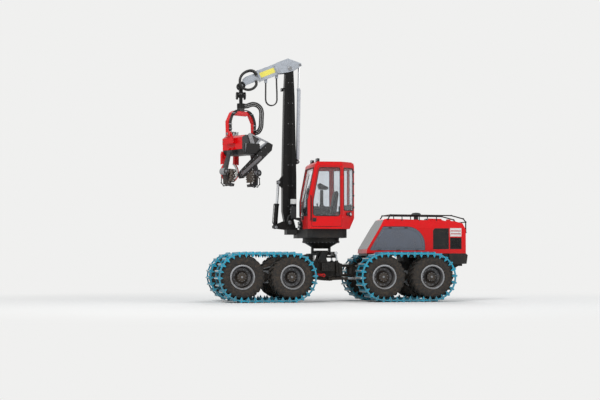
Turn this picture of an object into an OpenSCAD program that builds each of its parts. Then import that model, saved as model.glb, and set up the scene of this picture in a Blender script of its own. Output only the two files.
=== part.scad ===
// Eight-wheel forestry harvester on two bogie axles with steel tracks: front arm, mid frame with a levelled
// turntable that carries cab and crane, and a rear frame that is steered at its pivot.
// X points forward, Y to the left, Z up. Z = 0 is the floor, and X = Y = 0 is the middle of the whole length.

/* [Chassis] */
// Distance between the centres of the front and the rear bogie
wheelbase = 4300; // [4150:50:4600]
// From the rear bogie's centre to the rear face of the bumper
rear_overhang = 2095; // [2050:5:2200]
// Distance between the middle planes of the left and the right wheels
gauge = 2050; // [2050:10:2200]
// Half of the width of the frames' box beams
frame_half = 290; // [270:5:300]
// Height of the frames' top faces
frame_top = 1200; // [1180:10:1210]
// Half of the hood's width
hood_half = 600; // [560:5:610]

/* [Wheels and tracks] */
// Distance between the two wheels of a bogie
wheel_gap = 1500; // [1480:10:1600]
// Outer diameter of a tyre
tyre_d = 1340; // [1300:10:1380]
// Width of a tyre
tyre_w = 710; // [680:5:720]
// Diameter of the rim's seat for the tyre's bead
rim_d = 673; // [640:1:690]
// Height of a track shoe over the tyre
shoe_h = 85; // [70:1:100]
// Width of a track over its side links
track_w = 780; // [760:5:790]
// Number of shoes in a track's loop
shoe_count = 36; // [34:1:38]

/* [Turntable] */
// From the front bogie's centre back to the turntable's axis
slew_back = 1880; // [1860:10:1950]
// Height of the levelling joint's two axes
level_z = 1480; // [1470:5:1500]
// Height of the turntable's running face
slew_z = 1840; // [1830:5:1860]
// Height of the platform's top face, where the cab stands
cab_z = 2200; // [2180:5:2240]

/* [Cab] */
// Height of the cab
cab_h = 2000; // [1900:10:2050]
// Half of the cab's width
cab_half = 750; // [700:10:780]
// Thickness of the cab's walls
cab_wall = 50; // [40:1:60]
// Offset of the cab's middle plane to the left
cab_y = 300; // [280:5:330]

/* [Crane] */
// From the turntable's axis forward to the crane's foot
crane_x = 900; // [890:5:930]
// Offset of the crane's middle plane to the right
crane_y = 550; // [540:5:580]
// Height of the main boom's lower pin
boom_z = 2420; // [2410:5:2450]
// Length of the main boom between its pins
boom_len = 4790; // [4700:10:4900]
// Angle of the outer boom below the horizontal
outer_dip = 22; // [18:1:26]
// From the knuckle to the pin at the crane's tip
outer_len = 1615; // [1600:5:1700]

/* [Head] */
// Heading of the felling head's feed line, turned from straight ahead to the left
head_turn = 120; // [110:1:130]
// From the crane tip's pin down to the rotator's flange
rotator_drop = 785; // [770:5:800]
// From the rotator's flange down to the head's tilt pins
tilt_drop = 720; // [700:5:740]

/* [Hidden] */
$fn = 48;

// Running gap between pieces that slide or turn on each other
fit = 0.5;
// Gap between fixed pieces that stand face to face
seat_gap = 0.3;

tyre_r = tyre_d / 2;
rim_r = rim_d / 2;
track_r = tyre_r + shoe_h;
axle_z = track_r;
total_len = wheel_gap / 2 + track_r + wheelbase + rear_overhang;
front_x = total_len / 2 - wheel_gap / 2 - track_r;
rear_x = front_x - wheelbase;
tail_x = rear_x - rear_overhang;
slew_x = front_x - slew_back;
steer_x = rear_x + 1475;
steer_z = 945;
// Pivot of the front arm on the mid frame
arm_x = front_x - 1310;
arm_z = 1280;
// Inner face of the bogie cases
case_y0 = 430;
case_y1 = 640;
// Crane: foot, knuckle and tip pins
foot_x = slew_x + crane_x;
boom_y = -crane_y;
knee_z = boom_z + boom_len;
tip_x = foot_x + outer_len * cos(outer_dip) + 33 * sin(outer_dip);
tip_z = knee_z - outer_len * sin(outer_dip) + 33 * cos(outer_dip);
flange_z = tip_z - rotator_drop;
tilt_z = flange_z - tilt_drop;

// Outline in X and Z, drawn out from y0 to y1
module side(y0, y1) translate([0, y1, 0]) rotate([90, 0, 0]) linear_extrude(y1 - y0) children();
// Outline in Y and Z, drawn out from x0 to x1
module cross(x0, x1) translate([x0, 0, 0]) rotate([90, 0, 90]) linear_extrude(x1 - x0) children();
// Outline in X and Y, drawn out from z0 to z1
module plan(z0, z1) translate([0, 0, z0]) linear_extrude(z1 - z0) children();
// Round bars along the axes
module bar_y(x, z, r, y0, y1) translate([x, y0, z]) rotate([-90, 0, 0]) cylinder(r = r, h = y1 - y0);
module bar_x(y, z, r, x0, x1) translate([x0, y, z]) rotate([0, 90, 0]) cylinder(r = r, h = x1 - x0);
module bar_z(x, y, r, z0, z1) translate([x, y, z0]) cylinder(r = r, h = z1 - z0);
module block(x0, x1, y0, y1, z0, z1) translate([x0, y0, z0]) cube([x1 - x0, y1 - y0, z1 - z0]);
// The same piece on both sides of the middle plane
module both() { children(); mirror([0, 1, 0]) children(); }
module on_side(s) if (s > 0) children(); else mirror([0, 1, 0]) children();
// Straight tube between two points
module tube(a, b, r) {
    d = b - a;
    translate(a) rotate([0, acos(d.z / norm(d)), atan2(d.y, d.x)]) cylinder(r = r, h = norm(d));
}
// Tube through a list of points, with a round fitting at each bend
module tube_run(p, r) {
    for (i = [0 : len(p) - 2]) tube(p[i], p[i + 1], r);
    for (i = [1 : len(p) - 2]) bar_y(p[i].x, p[i].z, r + 5, p[i].y - r - 2, p[i].y + r + 2);
}

// Frames

mid_rear = steer_x + 330;
module mid_frame() color([0.10, 0.10, 0.11]) difference() {
    union() {
        side(-frame_half, frame_half) polygon([[mid_rear, 720], [mid_rear, frame_top - 50],
            [mid_rear + 200, frame_top], [arm_x - 195, frame_top], [arm_x - 195, 700],
            [steer_a.x + 130, 640], [mid_rear + 50, 660]]);
        // front plate, with room for the arm's cylinders low down
        block(arm_x - 235, arm_x - 195, -420, 420, 1020, level_z - 20);
        both() side(frame_half - 10, frame_half + 50) polygon([[arm_x - 200, 1130], [arm_x, 1150],
            [arm_x + 130, 1220], [arm_x + 130, 1340], [arm_x, 1410], [arm_x - 200, 1450]]);
        bar_y(arm_x, arm_z, 45, -frame_half - 70, frame_half + 70);
        // pedestal with the ears of the pitch axis
        bar_z(slew_x, 0, 330, frame_top - 10, frame_top + 25);
        both() side(240, 300) polygon([[slew_x - 150, frame_top], [slew_x - 60, level_z],
            [slew_x - 30, level_z + 50], [slew_x + 30, level_z + 50], [slew_x + 60, level_z],
            [slew_x + 150, frame_top]]);
        both() bar_y(slew_x, level_z, 40, 160, 305);
        // lugs and pin of the steering pivot
        for (z = [760, 1050]) plan(z, z + 80) polygon([[mid_rear + 20, -200], [steer_x - 60, -110],
            [steer_x - 110, -60], [steer_x - 110, 60], [steer_x - 60, 110], [mid_rear + 20, 200]]);
        bar_z(steer_x, 0, 50, 750, 1140);
        // ears of the steering cylinders
        both() for (z = [rod_z - 65, rod_z + 45]) plan(z, z + 20) polygon([[steer_a.x - 100, frame_half - 10],
            [steer_a.x + 100, frame_half - 10], [steer_a.x + 45, steer_a.y + 50],
            [steer_a.x - 45, steer_a.y + 50]]);
        both() bar_z(steer_a.x, steer_a.y, 24, rod_z - 70, rod_z + 70);
        // ears of the front arm's cylinders
        both() side(frame_half - 10, 308) polygon([[arm_x - 650, 700], [arm_x - 630, 860], [arm_x - 520, 860],
            [arm_x - 500, 700]]);
        both() bar_y(arm_x - 575, 800, 24, 300, 400);
        both() bar_y(arm_x - 575, 800, 34, 300, 331.5);
        // ears of the levelling cylinders
        both() side(frame_half - 10, 296) polygon([[slew_x - 520, 760], [slew_x - 500, 880], [slew_x - 390, 880],
            [slew_x - 370, 760]]);
        both() bar_y(slew_x - 445, 820, 22, 290, 380);
        both() bar_y(slew_x - 445, 820, 34, 290, 315.5);
        steps();
        // boxes on the right side and the ribbed box on the left
        block(slew_x - 200, arm_x - 260, -560, -frame_half + 10, 920, 1170);
        side_box();
    }
    // room under the pedestal for the propeller shaft
    bar_x(0, 860, 90, mid_rear - 10, mid_rear + 400);
    // room for the steering cylinders
    both() plan(600, rod_z + 65) polygon([[mid_rear - 10, 215], [mid_rear + 260, 260], [mid_rear + 300, 400],
        [mid_rear - 10, 400]]);
}
// Access steps on the left of the front plate
module steps() {
    for (x = [arm_x - 330, arm_x - 235]) tube([x, 590, 760], [x, 590, 1490], 16);
    for (z = [1000, 1220, 1440]) block(arm_x - 335, arm_x - 225, 425, 600, z - 12, z + 12);
    block(arm_x - 335, arm_x - 225, 425, 600, 700, 780);
    block(arm_x - 240, arm_x - 200, 415, 455, 690, 1475);
    block(arm_x - 240, arm_x - 225, frame_half - 20, 430, 700, 725);
}
// Ribbed box on the left of the mid frame
module side_box() difference() {
    block(slew_x - 330, slew_x + 60, frame_half - 10, 450, 930, 1180);
    for (x = [slew_x - 290 : 70 : slew_x + 10]) block(x, x + 30, 435, 460, 950, 1160);
}

// Box beam that carries the front bogies: it swings on the mid frame's front pin
module front_arm() color([0.09, 0.09, 0.10]) difference() {
    union() {
        side(-260, 260) polygon([[arm_x + 10, 1160], [arm_x + 25, 1400], [arm_x + 150, 1440],
            [arm_x + 330, 1390], [arm_x + 620, 1190], [front_x - 120, 1010], [front_x + 90, 960],
            [front_x + 190, 860], [front_x + 190, 640], [front_x + 60, 540], [front_x - 200, 530],
            [front_x - 620, 640], [arm_x + 190, 960]]);
        bar_y(arm_x, arm_z, 128, -frame_half + 12, frame_half - 12);
        axle(front_x);
        // ears for the arm's cylinders
        both() side(250, 325) polygon([[arm_x + 170, 1010], [arm_x + 190, 850], [arm_x + 300, 850],
            [arm_x + 330, 1010]]);
    }
    bar_y(arm_x, arm_z, 45 + fit, -frame_half, frame_half);
    // openings in the beam's flanks
    side(-300, -200) translate([front_x - 520, 860]) circle(r = 110);
    side(200, 300) translate([front_x - 520, 860]) circle(r = 110);
}
module axle(x) {
    bar_y(x, axle_z, 150, -case_y0 + seat_gap, case_y0 - seat_gap);
    bar_y(x, axle_z, 255, -190, 190);
}

// Piece of the joint that turns left and right with the rear frame and lets it roll
module joint_block() color([0.13, 0.13, 0.14]) difference() {
    union() {
        bar_z(steer_x, 0, 125, 840 + fit, 1050 - fit);
        block(steer_x - 200, steer_x, -120, 120, 845, 1045);
        bar_x(0, steer_z, 150, steer_x - 500, steer_x - 130);
        block(steer_x - 205, steer_x - 140, -150, 150, rod_z - 55, 850);
        both() for (z = [rod_z - 55, rod_z + 36]) plan(z, z + 20) polygon([[steer_x - 140, 130],
            [steer_x - 205, 130], [steer_b.x - 50, steer_b.y - 20], [steer_b.x - 30, steer_b.y + 45],
            [steer_b.x + 30, steer_b.y + 45], [steer_b.x + 50, steer_b.y - 20]]);
    }
    bar_z(steer_x, 0, 50 + fit, 800, 1100);
}

module rear_frame() color([0.10, 0.10, 0.11]) difference() {
    union() {
        bar_x(0, steer_z, 245, steer_x - 480, steer_x - 260);
        side(-frame_half, frame_half) polygon([[steer_x - 470, 700], [steer_x - 470, frame_top],
            [tail_x + 200, frame_top + 50], [tail_x + 120, 1140], [tail_x + 560, 860],
            [rear_x - 300, 640], [rear_x + 300, 620]]);
        axle(rear_x);
        // deck under the hood
        block(tail_x + 150, steer_x - 380, -560, 560, 1400, 1470);
        for (x = [steer_x - 700, rear_x - 250, rear_x - 1100]) block(x, x + 160, -420, 420, 1190, 1410);
        bumper();
    }
    bar_x(0, steer_z, 150 + fit, steer_x - 700, steer_x - 250);
}
// Counterweight and bumper behind the hood, with the towing lug
module bumper() difference() {
    union() {
        side(-600, 600) polygon([[tail_x + 60, 1470], [tail_x, 1420], [tail_x + 40, 1150], [tail_x + 560, 1130],
            [tail_x + 600, 1470]]);
        block(tail_x + 20, tail_x + 100, -90, 90, 1080, 1150);
    }
    bar_z(tail_x + 60, 0, 25, 1060, 1200);
    block(tail_x - 10, tail_x + 140, -95, 95, 1150, 1210);
}

// Bogies

// Case between two wheels, with its hubs and the rims that are bolted to them
module bogie(x, s) on_side(s) {
    color([0.12, 0.12, 0.13]) {
        for (dx = [-1, 1] * wheel_gap / 2) bar_y(x + dx, axle_z, 205, case_y0, case_y1);
        side(case_y0, case_y1 - 10) polygon([[x - wheel_gap / 2, axle_z - 150],
            [x - 260, axle_z - 190], [x + 260, axle_z - 190], [x + wheel_gap / 2, axle_z - 150],
            [x + wheel_gap / 2, axle_z + 150], [x + 260, axle_z + 190], [x - 260, axle_z + 190],
            [x - wheel_gap / 2, axle_z + 150]]);
    }
    for (dx = [-1, 1] * wheel_gap / 2) translate([x + dx, gauge / 2, axle_z]) rotate([-90, 0, 0]) rim();
}
// Rim and hub, along Z with the outer side up
module rim() color([0.36, 0.36, 0.38]) {
    edge = tyre_w / 2 - 50;
    rotate_extrude() polygon([[0, case_y1 - gauge / 2 - 10], [180, case_y1 - gauge / 2 - 10], [180, 30],
        [rim_r - 60, 60], [rim_r - 20, -20], [rim_r - 20, -edge], [rim_r + 32, -edge - 15],
        [rim_r + 32, -edge], [rim_r, -edge], [rim_r, edge], [rim_r + 32, edge], [rim_r + 32, edge + 15],
        [rim_r + 12, edge + 22], [rim_r - 18, edge + 22], [rim_r - 24, 40], [rim_r - 60, 95],
        [190, 70], [150, 90], [140, 190], [100, 210], [0, 210]]);
}
module tyre_pair(x, s) color([0.16, 0.15, 0.15]) on_side(s)
    for (dx = [-1, 1] * wheel_gap / 2) translate([x + dx, gauge / 2, axle_z]) rotate([-90, 0, 0]) tyre();
module tyre() {
    w = tyre_w / 2;
    bead = w - 50 - seat_gap;
    half = [[rim_r + seat_gap, bead], [rim_r + 36, bead], [rim_r + 60, w - 20], [rim_r + 160, w],
        [tyre_r - 80, w - 12], [tyre_r - 22, w - 55], [tyre_r, w - 150]];
    rotate_extrude() polygon(concat(half, [for (i = [len(half) - 1 : -1 : 0]) [half[i].x, -half[i].y]]));
}

// Track: a loop of shoes round both wheels of a bogie, joined at both edges by links
loop_r = tyre_r + 30;
loop_len = 2 * wheel_gap + 2 * PI * loop_r;
shoe_pitch = loop_len / shoe_count;
arc_len = PI * loop_r;
// How far a shoe's side plates reach in over the tyre's shoulders
plate_h = 95;
// Direction that points out of the loop, at a distance s along it
function loop_out(s) = s < wheel_gap ? -90 : s < wheel_gap + arc_len ? -90 + 180 * (s - wheel_gap) / arc_len
    : s < 2 * wheel_gap + arc_len ? 90 : 90 + 180 * (s - 2 * wheel_gap - arc_len) / arc_len;
function loop_base(s) = s < wheel_gap ? -wheel_gap / 2 + s : s < wheel_gap + arc_len ? wheel_gap / 2
    : s < 2 * wheel_gap + arc_len ? wheel_gap / 2 - (s - wheel_gap - arc_len) : -wheel_gap / 2;
function loop_point(s, r) = [loop_base(s) + r * cos(loop_out(s)), r * sin(loop_out(s))];
shoe_at = [for (i = [0 : shoe_count - 1]) (i + 0.5) * shoe_pitch];
module track(x, s) color([0.16, 0.66, 0.75]) on_side(s) translate([x, gauge / 2, axle_z]) {
    for (e = [-track_w / 2, track_w / 2 - 45]) difference() {
        side(e, e + 45) polygon([for (p = shoe_at) loop_point(p, tyre_r + 50)]);
        side(e - 1, e + 46) polygon([for (p = shoe_at) loop_point(p, tyre_r + 8)]);
    }
    for (p = shoe_at) translate([loop_base(p), 0, 0]) rotate([0, -loop_out(p), 0]) {
        side(4 - track_w / 2, track_w / 2 - 4) polygon([[tyre_r + seat_gap, -50], [tyre_r + seat_gap, 50],
            [track_r, 16], [track_r, -16]]);
        for (e = [track_w / 2 - 16, 8 - track_w / 2]) side(e, e + 8) polygon([[tyre_r + 30, -62],
            [tyre_r + 30, 62], [tyre_r - plate_h, 0]]);
    }
}

// Cylinders

// Share of a barrel's radius that its rod takes
bore_part = 0.62;
// Barrel from its eye along +X, its eye across Y; length l, radius r, eye width w
module barrel(l, r, w, pin_r) difference() {
    union() {
        bar_x(0, 0, r, 40, l);
        bar_x(0, 0, r + 9, l - 60, l);
        bar_y(0, 0, pin_r + 28, -w / 2, w / 2);
    }
    bar_y(0, 0, pin_r + fit, -w, w);
    bar_x(0, 0, r * bore_part + fit, 90, l + 1);
}
// Rod of a barrel of radius r: it starts at x0 and ends in an eye at x = l, with its pin of length p
module rod(x0, l, r, w, eye_r, p) {
    bar_x(0, 0, r * bore_part, x0, l - 10);
    bar_y(l, 0, eye_r, -w / 2, w / 2);
    bar_y(l, 0, eye_r * 0.45, -p / 2, p / 2);
}
// Places a cylinder in the plane y, from a = [x, z] towards b
module from_to(a, b, y) translate([a.x, y, a.y]) rotate([0, -atan2(b.y - a.y, b.x - a.x), 0]) children();

arm_cyl_a = [arm_x - 575, 800];
arm_cyl_b = [arm_x + 245, 900];
arm_cyl_l = norm(arm_cyl_b - arm_cyl_a);
module arm_barrels() color([0.80, 0.05, 0.07]) both() from_to(arm_cyl_a, arm_cyl_b, 362) barrel(560, 45, 60, 24);
module arm_rods() color([0.75, 0.76, 0.78]) both() from_to(arm_cyl_a, arm_cyl_b, 362)
    rod(200, arm_cyl_l, 45, 56, 50, 73);

level_a = [slew_x - 445, 820];
level_b = [slew_x - 400, level_z];
level_l = norm(level_b - level_a);
module level_barrels() color([0.12, 0.12, 0.13]) both() from_to(level_a, level_b, 346) barrel(430, 42, 60, 22);
module level_rods() color([0.75, 0.76, 0.78]) both() from_to(level_a, level_b, 346)
    rod(200, level_l, 42, 60, 48, 60);

rod_z = 700;
steer_a = [steer_x + 750, 370];
steer_b = [steer_x - 140, 320];
steer_l = norm(steer_a - steer_b);
steer_turn = atan2(steer_a.y - steer_b.y, steer_a.x - steer_b.x);
// Steering cylinder, lying, from the mid frame back to the joint block
module steer_pose(s) translate([steer_a.x, s * steer_a.y, rod_z]) rotate([0, 0, 180 + s * steer_turn])
    rotate([90, 0, 0]) children();
module steer_barrel(s) color([0.12, 0.12, 0.13]) steer_pose(s) barrel(570, 40, 66, 24);
module steer_rod(s) color([0.75, 0.76, 0.78]) steer_pose(s) rod(320, steer_l, 40, 62, 48, 68);

// Rear body

hood_z = 1470 + seat_gap;
module hood_side(t) polygon([[steer_x - 355 - 1.2 * t, hood_z - (t > 0 ? 50 : 0)],
    [steer_x - 370 - 1.2 * t, 1600], [steer_x - 915 - 0.9 * t, 2500 - t], [steer_x - 1020, 2535 - t],
    [tail_x + 420, 2470 - t], [tail_x + 150 + t, 2400 - t], [tail_x + 60 + t, 2200],
    [tail_x + 60 + t, hood_z - (t > 0 ? 50 : 0)]]);
module hood_end(t) polygon([[-hood_half + t, 1400], [-hood_half + t, 2250], [-hood_half + 70 + t, 2450 - t / 2],
    [-hood_half + 150 + t, 2560 - t], [hood_half - 150 - t, 2560 - t], [hood_half - 70 - t, 2450 - t / 2],
    [hood_half - t, 2250], [hood_half - t, 1400]]);
module hood_form(t) intersection() {
    side(-hood_half, hood_half) hood_side(t);
    cross(tail_x, steer_x) hood_end(t);
}
hood_wall = 40;
// Outline of the large side panel, under the arched band
arch_x = steer_x - 1640;
arch_r = 560;
module panel_outline(g) polygon(concat([[steer_x - 470 + g, 1560 - g], [steer_x - 480 + g, 1620],
    [steer_x - 880, 2290 + g]], [for (a = [90 : -15 : 0]) [arch_x - (arch_r + g) * cos(a), 1730 + (arch_r + g) * sin(a)]],
    [[arch_x - arch_r - g, 1560 - g]]));
door_outline = [[tail_x + 1110, 1600], [tail_x + 1110, 2180], [tail_x + 1050, 2240], [tail_x + 610, 2240],
    [tail_x + 610, 1600]];
module hood_openings(g) {
    both() {
        side(hood_half - 120, hood_half + 20) panel_outline(g);
        side(hood_half - 120, hood_half + 20) polygon(door_outline);
        block(tail_x + 200 - g, tail_x + 570 + g, hood_half - 120, hood_half + 20, 1990 - g, 2250 + g);
        block(tail_x + 200 - g, tail_x + 570 + g, hood_half - 120, hood_half + 20, 1600 - g, 1960 + g);
    }
}
// Raised hatch and lamp box on the hood's roof
module hood_tops() {
    side(-230, 230) polygon([[tail_x + 700, 2440], [tail_x + 730, 2545], [tail_x + 1150, 2555], [tail_x + 1180, 2470]]);
    both() side(300, 420) polygon([[tail_x + 480, 2430], [tail_x + 500, 2520], [tail_x + 600, 2525],
        [tail_x + 620, 2440]]);
}
module hood_shell() color([0.82, 0.03, 0.06]) difference() {
    union() {
        hood_form(0);
        hood_tops();
    }
    hood_form(hood_wall);
    hood_openings(0);
    rail_feet(seat_gap);
    bar_z(intake_x, intake_y, 70 + seat_gap, 2400, 2600);
}
module hood_panels() {
    inset = 0.5;
    color([0.37, 0.39, 0.44]) intersection() {
        difference() { hood_form(2); hood_form(hood_wall); }
        both() side(hood_half - 120, hood_half + 20) panel_outline(-inset);
    }
    color([0.07, 0.07, 0.08]) both() {
        side(hood_half - hood_wall, hood_half - 2) polygon([for (p = door_outline)
            [p.x + (p.x > tail_x + 800 ? -inset : inset), p.y + (p.y > 1900 ? -inset : inset)]]);
        difference() {
            block(tail_x + 200 + inset, tail_x + 570 - inset, hood_half - hood_wall, hood_half - 2, 1600 + inset,
                1960 - inset);
            for (z = [1640 : 40 : 1920]) block(tail_x + 230, tail_x + 540, hood_half - 15, hood_half + 5, z, z + 20);
        }
    }
    color([0.9, 0.9, 0.9]) both() difference() {
        block(tail_x + 200 + inset, tail_x + 570 - inset, hood_half - hood_wall, hood_half - 2, 1990 + inset,
            2250 - inset);
        for (z = [2060, 2150]) block(tail_x + 220, tail_x + 550, hood_half - 20, hood_half + 5, z, z + 25);
    }
}
rail_y = hood_half - 100;
rail_r = 19;
// Lower ends of the rail, each sunk in its hole in the hood
module rail_feet(g) both() {
    tube([steer_x - 1040, rail_y, 2500], [steer_x - 1130, rail_y, 2650], rail_r + g);
    tube([tail_x + 30, rail_y, 2120], [tail_x + 80, rail_y, 2075], rail_r + g);
    for (x = [steer_x - 1500, steer_x - 2050, steer_x - 2600]) bar_z(x, rail_y, 15 + g, 2465, 2645);
}
module hood_rail() color([0.06, 0.06, 0.07]) {
    $fn = 24;
    rail_feet(0);
    both() tube_run([[steer_x - 1040, rail_y, 2500], [steer_x - 1130, rail_y, 2650], [tail_x + 500, rail_y, 2640],
        [tail_x + 110, rail_y, 2540], [tail_x + 30, rail_y, 2440], [tail_x + 30, rail_y, 2120],
        [tail_x + 80, rail_y, 2075]], rail_r);
    bar_y(steer_x - 1130, 2650, rail_r, -rail_y, rail_y);
    bar_y(tail_x + 30, 2440, rail_r, -rail_y, rail_y);
}
intake_x = steer_x - 2030;
intake_y = 200;
module intake() color([0.06, 0.06, 0.07]) translate([intake_x, intake_y, 0]) {
    translate([0, 0, 2450]) cylinder(r = 70, h = 195);
    translate([0, 0, 2640]) rotate_extrude() polygon([[0, 0], [140, 0], [155, 20], [150, 50], [110, 85], [0, 100]]);
}
module engine_block() color([0.35, 0.35, 0.36]) block(rear_x - 1000, rear_x + 400, -380, 380, 1470 + seat_gap, 2150);

// Levelling joint and turntable

module level_yoke() color([0.14, 0.14, 0.15]) difference() {
    union() {
        block(slew_x - 185, slew_x + 185, -185, 185, level_z - 75, level_z + 75);
        bar_y(slew_x, level_z, 75, -238, 238);
        bar_x(0, level_z, 40, slew_x - 300, slew_x + 300);
        // lever to the cylinders, under the ring's rear ear
        block(slew_x - 185, slew_x - 110, -100, 100, level_z - 150, level_z);
        block(slew_x - 420, slew_x - 110, -100, 100, level_z - 150, level_z - 85);
        block(slew_x - 440, slew_x - 360, -285, 285, level_z - 150, level_z + 40);
        block(slew_x - 435, slew_x - 365, -315.5, 315.5, level_z - 45, level_z + 35);
    }
    both() bar_y(slew_x, level_z, 40 + fit, 150, 250);
}
module slew_ring() color([0.11, 0.11, 0.12]) {
    difference() {
        union() {
            translate([slew_x, 0, level_z + 135]) cylinder(r1 = 225, r2 = 560, h = 200);
            bar_z(slew_x, 0, 575, level_z + 320, slew_z - seat_gap);
            for (d = [-265, 265]) {
                block(slew_x + d - 30, slew_x + d + 30, -70, 70, level_z, level_z + 240);
                bar_x(0, level_z, 70, slew_x + d - 30, slew_x + d + 30);
            }
        }
        bar_x(0, level_z, 40 + fit, slew_x - 310, slew_x + 310);
    }
}
module platform() color([0.08, 0.08, 0.09]) {
    bar_z(slew_x, 0, 560, slew_z, slew_z + 110);
    plan(slew_z + 100, cab_z - seat_gap) polygon([[slew_x - 600, -350], [slew_x - 700, -150], [slew_x - 700, 500],
        [slew_x - 500, 800], [slew_x + 450, 900], [slew_x + 560, 700], [slew_x + 700, -200],
        [slew_x + 700, -820], [slew_x - 200, -560]]);
    plan(cab_z - 150, cab_z - seat_gap) polygon([[slew_x + 650, -250], [slew_x + 1000, -320],
        [slew_x + 1000, -780], [slew_x + 650, -815]]);
    lamp_bracket();
}
// Work lamps in front of the cab's foot
module lamp_bracket() {
    block(slew_x + 625, slew_x + 640, -190, 210, cab_z - 20, cab_z + 250);
    for (y = [-130, 10, 150], z = [cab_z + 80, cab_z + 190]) lamp_x(y, z, slew_x + 635, slew_x + 690);
}
// Round work lamp along X with a dished front
lamp_r = 48;
module lamp_x(y, z, x0, x1) difference() {
    bar_x(y, z, lamp_r, x0, x1);
    bar_x(y, z, lamp_r - 6, x1 - 8, x1 + 5);
}

// Foot of the crane, on the platform's front right corner
foot_half = 155;
module crane_base() color([0.10, 0.10, 0.11]) {
    block(slew_x + 660, slew_x + 1000, boom_y - 230, boom_y + 210, cab_z, cab_z + 60);
    for (e = [[foot_half, 195], [-195, -foot_half]]) translate([0, boom_y, 0]) side(e[0], e[1])
        polygon([[foot_x - 190, cab_z + 50], [foot_x - 130, boom_z + 60], [foot_x - 50, boom_z + 120],
            [foot_x + 50, boom_z + 120], [foot_x + 130, boom_z + 60], [lift_a.x + 60, lift_a.y + 50],
            [lift_a.x + 60, lift_a.y - 30], [foot_x + 100, cab_z]]);
    translate([0, boom_y, 0]) bar_y(foot_x, boom_z, 45, -200, 200);
    translate([0, boom_y, 0]) bar_y(lift_a.x, lift_a.y, 28, -190, 190);
}
lift_a = [foot_x + 430, boom_z - 140];
lift_b = [foot_x + 330, boom_z + 1250];
lift_l = norm(lift_b - lift_a);
lift_r = 68;
module lift_barrel() color([0.09, 0.09, 0.10]) from_to(lift_a, lift_b, boom_y) barrel(730, lift_r, 120, 28);
module lift_rod() color([0.75, 0.76, 0.78]) from_to(lift_a, lift_b, boom_y) rod(555, lift_l, lift_r, 80, 66, 98);

boom_half = 140;
module main_boom() color([0.05, 0.05, 0.06]) translate([foot_x, boom_y, boom_z]) difference() {
    union() {
        side(-boom_half, boom_half) polygon([[-110, -60], [-60, -120], [60, -120], [150, 0], [215, 350],
            [215, 1400], [165, 3900], [125, boom_len - 60], [90, boom_len + 60], [-90, boom_len + 60],
            [-120, boom_len - 60], [-160, 3900], [-215, 1400], [-215, 350], [-130, 60]]);
        bar_y(0, 0, 120, -foot_half + 3, foot_half - 3);
        bar_y(0, boom_len, 105, -boom_half - 5, boom_half + 5);
        // ears for the lift cylinder's rod
        for (e = [[50, 75], [-75, -50]]) side(e[0], e[1]) polygon([[200, 1050], [300, 1170], [385, 1200],
            [385, 1300], [300, 1330], [200, 1480]]);
        // ears for the stick cylinder's barrel
        for (e = [[58, 76], [-76, -58]]) side(e[0], e[1]) polygon([[-185, 1800], [-300, 1840], [-330, 1890],
            [-300, 1940], [-185, 2010]]);
        bar_y(-265, 1890, 20, -80, 80);
        for (e = [[31, 60], [-60, -31]]) bar_y(-265, 1890, 32, e[0], e[1]);
        boom_lamps();
        boom_lines();
    }
    bar_y(0, 0, 45 + fit, -200, 200);
    bar_y(0, boom_len, 45 + fit, -200, 200);
}
// Two work lamps under the knuckle, on a bracket on the boom's front face
module boom_lamps() {
    block(120, 200, -95, 95, boom_len - 620, boom_len - 600);
    block(185, 200, -95, 95, boom_len - 700, boom_len - 600);
    for (y = [-50, 50]) lamp_x(y, boom_len - 655, 195, 250);
}
// Pipes along the boom's left flank, in clamps
module boom_lines() {
    for (x = [-70, -35, 0, 35]) bar_z(x, boom_half + 16, 11, 420, boom_len - 350, $fn = 16);
    for (z = [480 : 640 : boom_len - 400]) block(-95, 60, boom_half - 5, boom_half + 32, z, z + 50);
}
stick_a = [foot_x - 265, boom_z + 1890];
stick_b = [foot_x - 319, knee_z + 116];
stick_l = norm(stick_b - stick_a);
module stick_barrel() color([0.72, 0.74, 0.77]) from_to(stick_a, stick_b, boom_y) barrel(2300, 45, 60, 20);
module stick_rod() color([0.80, 0.81, 0.83]) from_to(stick_a, stick_b, boom_y) rod(1700, stick_l, 45, 60, 46, 62);

// Frame of the outer boom: its pin at the origin, its length along +X
module outer_pose() translate([foot_x, boom_y, knee_z]) rotate([0, outer_dip, 0]) children();
lever_x = stick_b.x - foot_x;
lever_z = stick_b.y - knee_z;
lever = [lever_x * cos(outer_dip) - lever_z * sin(outer_dip), lever_x * sin(outer_dip) + lever_z * cos(outer_dip)];
ext_half = 100;
module outer_boom() color([0.66, 0.69, 0.73]) {
    outer_form();
    // blocks that the hose loop hangs from
    translate([foot_x, boom_y, knee_z]) for (e = [loop_route[0], loop_route[len(loop_route) - 1]])
        block(e.x - 40, e.x + 40, -60, 60, e.z, e.z + 128);
}
module outer_form() outer_pose() difference() {
    union() {
        for (e = [[boom_half + 10, boom_half + 42], [-boom_half - 42, -boom_half - 10]]) side(e[0], e[1])
            polygon([[lever.x - 45, lever.y - 45], [lever.x - 50, lever.y + 40], [-150, 230], [-60, 310],
                [330, 310], [420, 250], [420, 0], [300, -45], [120, -90], [-100, -110]]);
        side(-boom_half - 12, boom_half + 12) polygon([[-60, 200], [-60, 308], [330, 308], [330, 150], [250, 150]]);
        side(-ext_half - 40, ext_half + 40) polygon([[290, -30], [290, 300], [980, 300], [1010, 270], [1010, -45],
            [330, -45]]);
        for (e = [boom_half, -boom_half - 20]) block(300, 400, e, e + 20, -20, 280);
        bar_y(0, 0, 45, -boom_half - 45, boom_half + 45);
        for (e = [[36, 160], [-160, -36]]) bar_y(lever.x, lever.y, 20, e[0], e[1]);
    }
    block(340, 1100, -ext_half - fit, ext_half + fit, 5, 250 + fit);
}
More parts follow.
